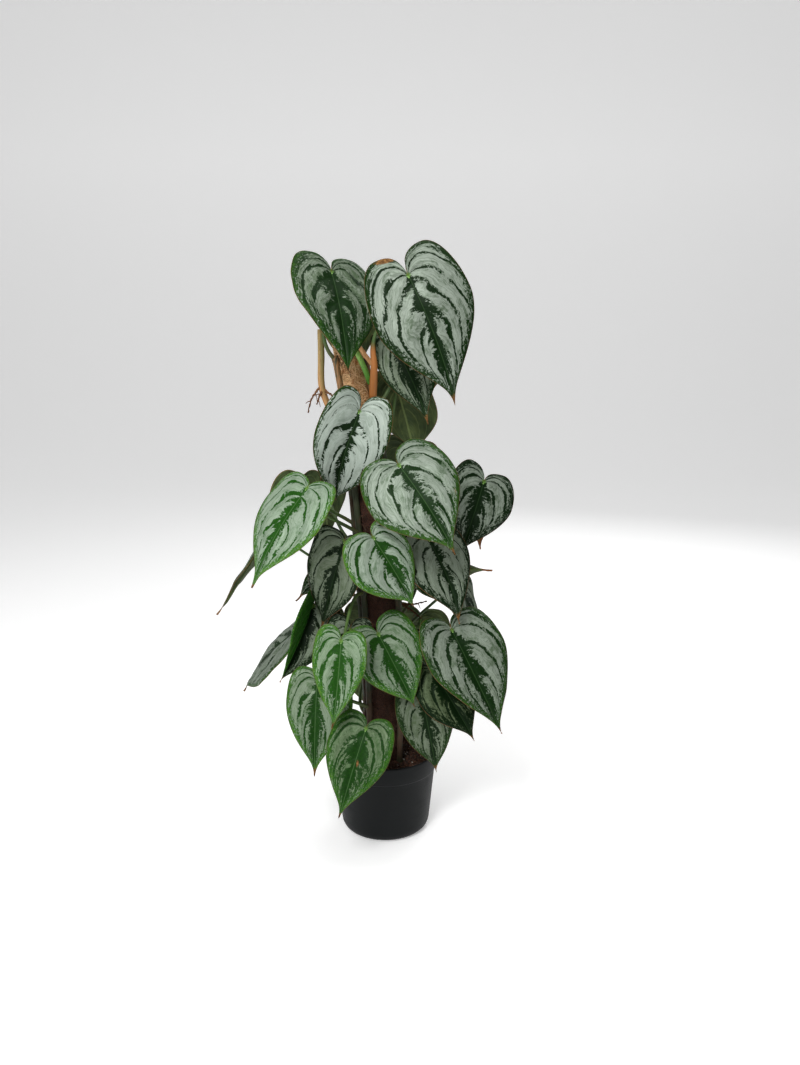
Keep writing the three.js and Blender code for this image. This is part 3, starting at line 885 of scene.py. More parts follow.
@dataclass
class Leaf:
    """A heart-shaped blade that hangs from its bent stalk."""

    name: str
    at: Point
    turn: float
    rise: float
    swing: float
    length: float
    width: float
    stem: Side
    root: float
    lobe: float = 0.18
    lobe_skew: float = 0.0
    skew: float = 0.0
    sway: float = 0.0
    bend: float = 20.0
    fold: float = 8.0
    belly: float = 0.22
    cup: float = 0.1
    ripple: float = 1.1
    sheath: float = 2.3
    via: tuple[Point, ...] = ()
    runs: int = 76
    reaches: int = 9
    look: Look = field(init=False)

    def __post_init__(self) -> None:
        """Finds the leaf's look."""
        self.look = LOOKS.get(self.name, Look())

    def half_width(self, side: int) -> float:
        """Gives the width of the right (1) or left (-1) half."""
        return self.width / 2 * (1 + side * self.skew)

    def margin(self, side: int, run: float) -> Vector:
        """Gives a point of the flat blade's margin.

        Args:
            side: The right half (1) or the left one (-1).
            run: How far round it is, from the notch (0) to the tip (1).

        Returns:
            The point, with the midrib along Y.
        """
        w = self.half_width(side)
        lobe = self.lobe * self.length * (1 + side * self.lobe_skew)
        tip = self.length
        knots = (0.0, 0.2, 0.44, 0.86, 1.0)
        parts = (
            ((0, 0), (0.02 * w, -0.62 * lobe), (0.14 * w, -lobe), (0.5 * w, -lobe)),
            ((0.5 * w, -lobe), (0.82 * w, -lobe), (w, (self.belly - 0.22) * tip), (w, self.belly * tip)),
            (
                (w, self.belly * tip),
                (w, (self.belly + 0.27) * tip),
                (0.27 * w, 0.755 * tip),
                (0.1 * w, 0.88 * tip),
            ),
            ((0.1 * w, 0.88 * tip), (0.049 * w, 0.9175 * tip), (0.02 * w, 0.96 * tip), (0, tip)),
        )
        part = next((i for i in range(3) if run < knots[i + 1]), 3)
        share = (run - knots[part]) / (knots[part + 1] - knots[part])
        return bezier([Vector((*end, 0)) for end in parts[part]], share)

    def spread(self, side: int, run: float, reach: float) -> Vector:
        """Gives a point of the flat blade.

        Args:
            side: The right half (1) or the left one (-1).
            run: How far round the blade it is, from the notch (0) to the tip (1).
            reach: How far out it is, from the midrib (0) to the margin (1).

        Returns:
            The point, with the midrib along Y.
        """
        margin = self.margin(side, run)
        rib = Vector((0, min(1.0, max(0.0, (run - 0.42) / 0.58)) ** 1.15 * self.length, 0))
        vein = margin - rib
        bow = 0.16 * min(1.0, run / 0.3) * min(1.0, (1 - run) / 0.2)
        middle = rib + vein * 0.5 + Vector((vein.y, -vein.x, 0)) * bow
        return bezier((rib, middle, margin), reach)

    def vein(self, side: int, run: float, reach: float) -> tuple[float, float]:
        """Says where a point lies among the side veins, which leave the midrib and bend towards the tip.

        Args:
            side: The right half (1) or the left one (-1).
            run: How far round the blade the point is.
            reach: How far out it is.

        Returns:
            The vein's number, whole on a vein, and how far the point is from the notch.
        """
        number = (run - VEIN_START - VEIN_SWEEP * reach**2.2) / VEIN_STEP
        return number, self.spread(side, run, reach).length

    def relief(self, side: int, run: float, reach: float) -> float:
        """Gives how far the surface puffs up between its veins and sinks along them.

        Args:
            side: The right half (1) or the left one (-1).
            run: How far round the blade the point is.
            reach: How far out it is.

        Returns:
            The height.
        """
        flat = self.spread(side, run, reach)
        number, out = self.vein(side, run, reach)
        edge = (self.margin(side, run) - flat).length
        rib = flat.x if flat.y > 0 else out
        between = 1 - math.exp(-(((number - round(number)) / 0.16) ** 2))
        near = min(1.0, rib / 7) * min(1.0, edge / 7)
        slack = noise.noise(Vector((side * flat.x, flat.y, 10 * self.root)) * 0.045) * min(1.0, rib / 12)
        groove = 0.75 * math.exp(-((rib / 1.5) ** 2)) * min(1.0, (self.length - flat.y) / 30)
        return 1.5 * between * near - groove + 2.0 * slack

    def hang(self, side: int, run: float, reach: float) -> Vector:
        """Gives a point of the blade as it hangs: folded, cupped, bent down and swayed.

        Args:
            side: The right half (1) or the left one (-1).
            run: How far round the blade the point is.
            reach: How far out it is.

        Returns:
            The point in the leaf's own frame.
        """
        flat = self.spread(side, run, reach)
        along = flat.y / self.length
        fold = math.radians(self.fold)
        bend = math.radians(self.bend)
        wave = self.ripple * reach**2 * math.sin(2 * math.pi * (2.5 * run + 0.3 * side))
        lift = flat.x * math.tan(fold) - self.cup * flat.x**2 / (self.width / 2) + wave
        lift += self.relief(side, run, reach)
        angle = bend * along
        swayed = self.sway * self.length * max(0.0, along) ** 2.5
        return Vector(
            (
                side * flat.x * math.cos(fold) + swayed,
                math.sin(angle) / bend * self.length + lift * math.sin(angle),
                (math.cos(angle) - 1) / bend * self.length + lift * math.cos(angle),
            )
        )

    def stand(self) -> Matrix:
        """Gives the leaf's frame: the blade faces along the third axis, its tip lies along the second."""
        turn, rise, swing = (math.radians(angle) for angle in (self.turn, self.rise, self.swing))
        face = Vector(
            (math.sin(turn) * math.cos(rise), -math.cos(turn) * math.cos(rise), math.sin(rise))
        )
        down = (Vector((0, 0, -1)) + face * face.z).normalized()
        tip = down * math.cos(swing) + face.cross(down) * math.sin(swing)
        across = face.cross(tip)
        turned = Matrix((across, tip, face)).transposed().to_4x4()
        return Matrix.Translation(self.at) @ turned

    def stalk_path(self) -> list[Vector]:
        """Gives the way of the stalk from its stem to the notch."""
        stand = self.stand().to_3x3()
        tip, face = stand.col[1], stand.col[2]
        climb = self.stem.value
        foot = climb.at(self.root)
        head = Vector(self.at) - face * 0.9 + tip * 1.5
        if self.via:
            return along_points([foot, *self.via, head], 22)
        span = (head - foot).length
        outward = (foot - pole_centre(self.root)).normalized()
        start = foot + outward * (0.3 * span) + Vector((0, 0, 0.2 * span))
        end = head + tip * (0.16 * span) - face * (0.26 * span)
        return [bezier((foot, start, end, head), index / 19) for index in range(20)]

    def dryness(self, side: int, run: float, reach: float) -> float:
        """Gives how dry the blade is at a point, from the tip's browning and the leaf's marks.

        Args:
            side: The right half (1) or the left one (-1).
            run: How far round the blade the point is.
            reach: How far out it is.

        Returns:
            The share, 0 to 1.
        """
        flat = self.spread(side, run, reach)
        to_tip = self.length - flat.y
        dry = max(0.0, 1 - 0.5 * to_tip / self.look.tip)
        for mark in self.look.marks:
            if mark.side == side:
                middle = self.spread(side, mark.run, mark.reach)
                way = (self.spread(side, mark.run + 0.02, mark.reach) - middle).normalized()
                off = flat - middle
                over = off.dot(way) / mark.length
                aside = (off - way * off.dot(way)).length / mark.width
                dry = max(dry, mark.depth * (1.2 - math.hypot(over, aside)))
        return min(1.0, dry)

    def blade(self, mesh: bmesh.types.BMesh) -> None:
        """Shapes the blade from a grid: one way round the margin, the other from margin to margin.

        Args:
            mesh: The mesh that the blade is made in.
        """
        veins = mesh.loops.layers.uv.new("veins")
        form = mesh.loops.layers.uv.new("form")
        dry = mesh.verts.layers.float.new("dry")
        tipward = mesh.verts.layers.float.new("tipward")
        bmesh.ops.create_grid(mesh, x_segments=self.runs, y_segments=2 * self.reaches, size=0.5)
        spots = {vert: (vert.co.x + 0.5, 2 * vert.co.y) for vert in mesh.verts}
        for face in mesh.faces:
            side = 1 if sum(spots[vert][1] for vert in face.verts) > 0 else -1
            for loop in face.loops:
                run, reach = spots[loop.vert][0], abs(spots[loop.vert][1])
                flat = self.spread(side, run, reach)
                number, out = self.vein(side, run, reach)
                rib = flat.x if flat.y > 0 else out
                loop[veins].uv = (number + (40 if side > 0 else 80), out)
                loop[form].uv = (rib, (self.margin(side, run) - flat).length)
            face.smooth = True
        for vert, (run, reach) in spots.items():
            side = 1 if reach > 0 else -1
            vert.co = self.hang(side, run, abs(reach))
            vert[dry] = self.dryness(side, run, abs(reach))
            vert[tipward] = self.spread(side, run, abs(reach)).y / self.length
        bmesh.ops.remove_doubles(mesh, verts=mesh.verts, dist=0.01)
        bmesh.ops.transform(mesh, matrix=self.stand(), verts=mesh.verts)
        mesh.normal_update()
        facing = self.stand().to_3x3().col[2]
        if sum(face.normal.dot(facing) for face in mesh.faces) < 0:
            bmesh.ops.reverse_faces(mesh, faces=mesh.faces)
        mesh.verts.index_update()
        mesh.normal_update()
        self.thicken(mesh)

    def thicken(self, mesh: bmesh.types.BMesh) -> None:
        """Gives the blade its thickness, with its own materials below and round the rim.

        Args:
            mesh: The mesh that holds only the blade's upper face.
        """
        number = mesh.verts.layers.int.new("number")
        for vert in mesh.verts:
            vert[number] = vert.index
        below = [vert.co - vert.normal * BLADE_THICKNESS for vert in mesh.verts]
        grown = bmesh.ops.extrude_face_region(mesh, geom=list(mesh.faces), use_keep_orig=True)["geom"]
        shell = {part for part in grown if isinstance(part, bmesh.types.BMVert)}
        for vert in shell:
            vert.co = below[vert[number]]
        for face in mesh.faces:
            face.smooth = True
            held = sum(vert in shell for vert in face.verts)
            if held:
                face.material_index = 1 if held == len(face.verts) else 2
        bmesh.ops.recalc_face_normals(mesh, faces=mesh.faces)

    def build(self, materials: Sequence[bpy.types.Material]) -> bpy.types.Object:
        """Makes the leaf.

        Args:
            materials: Its materials: upper face, lower face, rim and stalk.

        Returns:
            The piece.
        """
        mesh = bmesh.new()
        self.blade(mesh)
        path = self.stalk_path()

        def stalk_radius(share: float) -> float:
            """Gives the stalk's radius: a wide foot, any papery wrap, and a slight swelling at the blade."""
            swelling = 0.25 * math.exp(-(((share - 0.94) / 0.05) ** 2))
            swelling += self.look.papery * 1.1 * max(0.0, math.sin(math.pi * min(1.0, share / 0.62))) ** 0.6
            return STALK_RADIUS + (self.sheath - STALK_RADIUS) * (1 - share) ** 2 + swelling

        sweep(mesh, path, stalk_radius, 10, 3)
        stand = self.stand()
        rib = [
            stand @ (self.hang(1, 0.43 + 0.5 * i / 13, 0) - Vector((0, 0, 1.05 - 0.6 * i / 13)))
            for i in range(14)
        ]
        ridge = sweep(mesh, rib, lambda share: 0.95 - 0.6 * share, 6, 1)
        form = mesh.loops.layers.uv["form"]
        for face in ridge:
            for loop in face.loops:
                loop[form].uv = (0, 20)
        constants = {
            "silver": self.look.silver,
            "fresh": self.look.fresh,
            # painted shade of the whole leaf
            "dull": self.look.dull,
            # painted light of the whole leaf
            "bright": self.look.bright,
            "papery": self.look.papery,
            "seed": self.root + 0.37 * self.length,
        }
        for name, value in constants.items():
            layer = mesh.verts.layers.float.new(name)
            for vert in mesh.verts:
                vert[layer] = value
        # The left half takes its own shares, which on leaf_low_folded include painted light.
        if self.look.left:
            layers = [mesh.verts.layers.float[name] for name in ("silver", "fresh")]
            home = stand.inverted()
            for vert in mesh.verts:
                if (home @ vert.co).x < -0.5:
                    vert[layers[0]], vert[layers[1]] = self.look.left
        return settle(self.name, mesh, materials, [self.name])


LEAVES: tuple[Leaf, ...] = (
    Leaf("leaf_top_left", at=(-53, -20, 625), turn=36, rise=38, swing=-8, length=118, width=96, lobe=0.19,
        fold=4, stem=Side.FRONT_LEFT, root=536),
    Leaf("leaf_top_right", at=(25, -78, 616), turn=-5, rise=15, swing=26, length=133, width=101, lobe=0.21,
        fold=-3, bend=26, sway=-0.08, belly=0.25, stem=Side.FRONT_RIGHT, root=497, sheath=4.2, via=((-10,
        -23, 528), (-8, -36, 562),)),
    Leaf("leaf_upper_shaded", at=(9, -7, 555), turn=-18, rise=33, swing=34, length=103, width=66,
        skew=0.17, sway=-0.08, belly=0.28, stem=Side.FRONT_RIGHT, root=486),
    Leaf("leaf_upper_behind", at=(13, 0, 511), turn=158, rise=29, swing=-5, length=94, width=73,
        skew=-0.13, bend=10, belly=0.32, fold=2, stem=Side.BACK_RIGHT, root=452),
    Leaf("leaf_silver", at=(-24, -62, 485), turn=5, rise=-8, swing=-20, length=118, width=82, fold=26,
        bend=42, sway=0.12, stem=Side.FRONT_LEFT, root=452),
    Leaf("leaf_middle_front", at=(16, -82, 433), turn=-6, rise=32, swing=37, length=107, width=97,
        skew=-0.05, sway=-0.05, fold=-1, belly=0.26, stem=Side.FRONT_RIGHT, root=396),
    Leaf("leaf_middle_right", at=(109, 0, 405), turn=18, rise=20, swing=-23, length=84, width=79,
        lobe=0.19, lobe_skew=-0.11, belly=0.24, stem=Side.BACK_RIGHT, root=352),
    Leaf("leaf_middle_left", at=(-78, -68, 408), turn=-31, rise=40, swing=-18, length=116, width=88,
        lobe=0.12, lobe_skew=0.15, sway=0.05, fold=1, belly=0.25, stem=Side.FRONT_LEFT, root=350),
    Leaf("leaf_middle_left_behind", at=(-92, -12, 407), turn=-156, rise=20, swing=16, length=76, width=56,
        lobe_skew=-0.19, stem=Side.BACK_LEFT, root=356),
    Leaf("leaf_edge_on", at=(-131, 28, 348), turn=-93, rise=27, swing=36, length=118, width=73, bend=-4,
        fold=2, stem=Side.BACK_LEFT, root=280, via=((-60, 27, 298), (-92, 24, 320),)),
    Leaf("leaf_olive", at=(-42, -46, 348), turn=-35, rise=6, swing=-18, length=113, width=79, lobe=0.1,
        lobe_skew=0.14, skew=0.06, sway=-0.06, fold=17, stem=Side.FRONT_LEFT, root=306),
    Leaf("leaf_centre_front", at=(-10, -86, 360), turn=14, rise=15, swing=31, length=89, width=71,
        skew=-0.2, lobe=0.15, bend=29, belly=0.26, stem=Side.FRONT_LEFT, root=322),
    Leaf("leaf_right_grey", at=(47, -45, 350), turn=16, rise=37, swing=20, length=95, width=76, lobe=0.2,
        skew=-0.08, sway=-0.12, belly=0.24, stem=Side.FRONT_RIGHT, root=310),
    Leaf("leaf_right_point", at=(33, 60, 284), turn=177, rise=48, swing=-118, length=105, width=71,
        stem=Side.BACK_RIGHT, root=246),
    Leaf("leaf_right_behind", at=(79, -10, 297), turn=59, rise=20, swing=23, length=88, width=62, fold=2,
        stem=Side.BACK_RIGHT, root=224),
    Leaf("leaf_centre_underside", at=(43, -12, 309), turn=20, rise=32, swing=33, length=54, width=45,
        stem=Side.FRONT_RIGHT, root=274),
    Leaf("leaf_right_curled", at=(94, 30, 393), turn=150, rise=20, swing=-12, length=74, width=56,
        sway=0.06, stem=Side.BACK_RIGHT, root=316),
    Leaf("leaf_left_small", at=(-57, 8, 304), turn=-38, rise=46, swing=-40, length=59, width=40, fold=18,
        skew=-0.08, stem=Side.BACK_LEFT, root=268),
    Leaf("leaf_low_far_left", at=(-106, 14, 228), turn=-76, rise=42, swing=-32, length=130, width=76,
        skew=0.19, sway=-0.03, fold=2, belly=0.3, stem=Side.BACK_LEFT, root=196),
    Leaf("leaf_low_folded", at=(-81, -2, 264), turn=43, rise=12, swing=-32, length=92, width=72, fold=37,
        skew=-0.06, belly=0.29, stem=Side.BACK_LEFT, root=226),
    Leaf("leaf_low_dark", at=(-37, -38, 248), turn=-10, rise=8, swing=-7, length=75, width=59, lobe=0.21,
        stem=Side.FRONT_LEFT, root=214),
    Leaf("leaf_low_bright", at=(-44, -86, 251), turn=-10, rise=19, swing=-1, length=93, width=59,
        lobe=0.15, lobe_skew=-0.17, sway=-0.06, belly=0.18, stem=Side.FRONT_LEFT, root=282),
    Leaf("leaf_low_centre", at=(-6, -58, 249), turn=3, rise=21, swing=27, length=92, width=79, lobe=0.19,
        bend=36, fold=12, belly=0.19, stem=Side.FRONT_RIGHT, root=210),
    Leaf("leaf_low_centre_behind", at=(29, 0, 223), turn=26, rise=32, swing=16, length=82, width=53,
        skew=-0.16, stem=Side.BACK_RIGHT, root=176),
    Leaf("leaf_low_right", at=(72, -62, 255), turn=17, rise=39, swing=16, length=119, width=93, lobe=0.16,
        lobe_skew=-0.07, skew=0.05, sway=0.04, belly=0.24, stem=Side.FRONT_RIGHT, root=244),
    Leaf("leaf_low_right_shaded", at=(53, -44, 203), turn=4, rise=31, swing=30, length=88, width=64,
        belly=0.3, stem=Side.FRONT_RIGHT, root=226),
    Leaf("leaf_pot_left", at=(-73, -50, 194), turn=-12, rise=25, swing=2, length=103, width=76, lobe=0.16,
        lobe_skew=0.09, skew=0.11, stem=Side.FRONT_LEFT, root=150),
    Leaf("leaf_pot_front", at=(-19, -86, 154), turn=-9, rise=31, swing=-14, length=96, width=71, lobe=0.16,
        stem=Side.FRONT_LEFT, root=118),
    Leaf("leaf_pot_right", at=(41, -45, 174), turn=4, rise=12, swing=11, length=94, width=66, lobe=0.2,
        bend=27, fold=11, belly=0.19, stem=Side.FRONT_RIGHT, root=128),
    Leaf("leaf_back_top_right", at=(34, 48, 560), turn=160, rise=20, swing=10, length=98, width=78,
        stem=Side.BACK_RIGHT, root=530),
    Leaf("leaf_back_top_left", at=(-38, 42, 596), turn=-165, rise=22, swing=-5, length=84, width=66,
        stem=Side.BACK_RIGHT, root=534, via=((-30, 30, 562),)),
    Leaf("leaf_back_upper_left", at=(-42, 48, 470), turn=-155, rise=20, swing=-12, length=92, width=72,
        stem=Side.BACK_LEFT, root=420),
    Leaf("leaf_back_upper_right", at=(28, 58, 432), turn=165, rise=26, swing=12, length=100, width=80,
        stem=Side.BACK_RIGHT, root=380),
    Leaf("leaf_back_left", at=(-70, 46, 396), turn=-150, rise=22, swing=-10, length=72, width=56,
        stem=Side.BACK_LEFT, root=330),
    Leaf("leaf_back_middle", at=(12, 62, 360), turn=178, rise=24, swing=4, length=96, width=76,
        stem=Side.BACK_RIGHT, root=310),
    Leaf("leaf_back_right", at=(70, 46, 364), turn=130, rise=25, swing=8, length=80, width=62,
        stem=Side.BACK_RIGHT, root=330),
    Leaf("leaf_back_low_left", at=(-50, 54, 238), turn=-160, rise=24, swing=-8, length=94, width=74,
        stem=Side.BACK_LEFT, root=176),
    Leaf("leaf_back_low_right", at=(42, 62, 232), turn=160, rise=26, swing=10, length=98, width=78,
        stem=Side.BACK_RIGHT, root=150),
    Leaf("leaf_back_pot_left", at=(-22, 68, 182), turn=-172, rise=22, swing=-4, length=90, width=70,
        stem=Side.BACK_LEFT, root=128),
    Leaf("leaf_back_pot_right", at=(50, 50, 166), turn=148, rise=24, swing=10, length=86, width=66,
        stem=Side.BACK_RIGHT, root=122),
)


@dataclass
class Stem:
    """A climbing stem, thickened at the nodes where its leaves leave it, with clinging roots."""

    side: Side
    leaf_roots: list[float]
    steps: int = 130
    sides: int = 14
    cork: float = 0.3

    def path(self) -> list[Vector]:
        """Gives the stem's points from the potting mix to its top."""
        climb = self.side.value
        if climb.free:
            risen = [climb.at(climb.foot + (climb.top - climb.foot) * i / 18) for i in range(19)]
            return along_points([*risen, *climb.free], self.steps)
        return [climb.at(climb.foot + (climb.top - climb.foot) * i / self.steps) for i in range(self.steps + 1)]

    def build(self, stem: bpy.types.Material, stub: bpy.types.Material, root: bpy.types.Material) -> None:
        """Makes the stem and the short roots that hold it to the pole.

        Args:
            stem: The material of its skin.
            stub: The material of its cut end.
            root: The material of its roots.
        """
        climb = self.side.value
        path = self.path()
        heights = [point.z for point in path]
        climbed = climb.top

        def radius(share: float) -> float:
            """Gives the radius, with a ring where each leaf or root leaves the stem."""
            place = share * (len(path) - 1)
            height = heights[round(place)]
            swell = sum(0.75 * math.exp(-(((height - node) / 2.6) ** 2)) for node in self.leaf_roots)
            slim = 0.25 * min(1.0, max(0.0, (height - climbed) / 60)) if climb.free else 0.0
            wave = 0.18 * noise.noise(Vector((height * 0.09, 0, self.side.value.turns[0])))
            return STEM_RADIUS - 0.25 + slim + swell + wave

        mesh = bmesh.new()
        sweep(mesh, path, radius, self.sides)
        if climb.free:
            self.cut_end(mesh, path)
        cork = mesh.verts.layers.float.new("cork")
        for vert in mesh.verts:
            vert[cork] = self.cork + 0.7 * max(0.0, 1 - vert.co.z / 260)
        settle(climb.name, mesh, [stem, stub], [climb.name])
        self.cling(root)

    def cut_end(self, mesh: bmesh.types.BMesh, path: Sequence[Vector]) -> None:
        """Gives the free end of the stem its own skin, with a groove down its front.

        Args:
            mesh: The stem's mesh.
            path: The stem's points.
        """
        bare, end = 478.0, path[-1].z
        along = mesh.verts.layers.float["along"]
        aside = mesh.verts.layers.float.new("aside")
        for vert in mesh.verts:
            if vert.co.z < bare:
                continue
            middle = min(path, key=lambda point: abs(point.z - vert.co.z))
            off = vert.co - middle
            turn = math.atan2(off.y, off.x) + math.pi / 2 + 0.1
            vert[along] = (vert.co.z - bare) / (end - bare)
            vert[aside] = min(1.0, max(0.0, 0.5 + 2.5 * turn)) * vert[along] ** 0.7
            if off.length > 1:
                vert.co -= off.normalized() * 1.1 * math.exp(-((turn / 0.35) ** 2)) * vert[along]
        for face in mesh.faces:
            if face.calc_center_median().z > bare:
                face.material_index = 1

    def cling(self, material: bpy.types.Material) -> None:
        """Makes the thin roots that run from the stem's nodes over the coir.

        Args:
            material: The roots' material.
        """
        climb = self.side.value
        draw = random.Random(f"{climb.name} roots")
        strands = Strands()
        heights = [node for node in self.leaf_roots if node > SOIL_TOP]
        heights += [draw.uniform(SOIL_TOP + 8, climb.top - 20) for _ in range(9)]
        for height in heights:
            for _ in range(3):
                start = climb.at(height)
                centre = pole_centre(height)
                angle = math.atan2(start.y, start.x - centre.x)
                way = draw.choice((-1, 1))
                points = []
                for step in range(8):
                    share = step / 7
                    z = height - draw.uniform(-1.5, 3.5) * step
                    middle = pole_centre(z)
                    spread = angle + way * (0.1 + 0.95 * share * draw.uniform(0.7, 1))
                    reach = pole_radius(z) + 2.6 - 2.2 * share
                    points.append(middle + Vector((math.cos(spread) * reach, math.sin(spread) * reach, 0)))
                strands.add([start.lerp(points[0], 0.6), *points], draw.uniform(0.5, 0.85))
        settle(f"{climb.name}_roots", strands.mesh(), [material])


@dataclass
class DryRoots:
    """The short brown roots that stand off two stems."""

    tracks: dict[str, tuple[tuple[Point, ...], ...]] = field(
        default_factory=lambda: {
            "roots_back_left": (
                ((-67, 0, 508), (-72, -3, 503), (-78, -4, 494), (-82, -2, 480)),
                ((-66, 0, 504), (-69, -6, 498), (-72, -8, 489)),
                ((-66, 0, 506), (-58, -4, 500), (-52, -5, 498)),
            ),
            "roots_back_right": (
                ((17, 16, 262), (30, 8, 263), (47, -3, 270)),
                ((17, 16, 262), (30, 9, 256), (41, 0, 249)),
            ),
        }
    )

    def build(self, material: bpy.types.Material) -> None:
        """Makes the roots, each with finer ones that leave it.

        Args:
            material: Their material.
        """
        for name, tracks in self.tracks.items():
            draw = random.Random(name)
            mesh = bmesh.new()
            for track in tracks:
                path = along_points(track, 26)
                for index, point in enumerate(path[3:-1], 3):
                    wobble = Vector([draw.uniform(-0.45, 0.45) for _ in range(3)])
                    path[index] = point + wobble
                sweep(mesh, path, lambda share: 1.5 - 0.8 * share + 0.2 * math.sin(share * 40), 8)
                for index in (10, 18):
                    start = path[index]
                    aside = Vector([draw.uniform(-1, 1), draw.uniform(-1, 1), draw.uniform(-1.2, 0.2)])
                    droop = Vector((0, 0, -0.16))
                    twig = [start + aside.normalized() * (1.1 * step) + droop * step**2 for step in range(6)]
                    sweep(mesh, twig, lambda share: 0.7 - 0.4 * share, 6)
            settle(name, mesh, [material])


@dataclass
class Shoot:
    """The rolled new leaf and the papery sheath at its side."""

    roll: tuple[Point, ...] = ((-15, -9, 512), (-19, -17, 524), (-25, -24, 538), (-32, -27, 552), (-41, -27, 570))
    sheath: tuple[Point, ...] = ((-10, -24, 528), (-17, -28, 538), (-24, -30, 548), (-28, -31, 556))

    def build(self, shoot: bpy.types.Material, paper: bpy.types.Material) -> None:
        """Makes both pieces.

        Args:
            shoot: The material of the rolled leaf.
            paper: The material of the sheath.
        """
        mesh = bmesh.new()
        path = along_points(self.roll, 44)
        sweep(mesh, path, lambda share: 2.9 - 2.6 * max(0.0, (share - 0.6) / 0.4) ** 1.4, 20)
        for vert in mesh.verts:
            near = min(path, key=lambda point: (point - vert.co).length_squared)
            off = vert.co - near
            turn = math.atan2(off.y, off.x) + vert.co.z * 0.05
            vert.co += off * (0.16 * max(0.0, math.cos(turn)) ** 8 - 0.1 * max(0.0, math.cos(turn + 0.5)) ** 10)
        settle("new_leaf_roll", mesh, [shoot], ["new_leaf_roll"])
        mesh = bmesh.new()
        path = along_points(self.sheath, 30)
        sweep(
            mesh,
            path,
            lambda share: 0.4 + 2.0 * math.sin(math.pi * (0.16 + 0.84 * share)) ** 0.7,
            16,
            flatten=lambda share: 0.42,
        )
        for vert in mesh.verts:
            vert.co += 0.35 * noise.noise_vector(vert.co * 0.25)
        settle("shoot_sheath", mesh, [paper], ["shoot_sheath"])


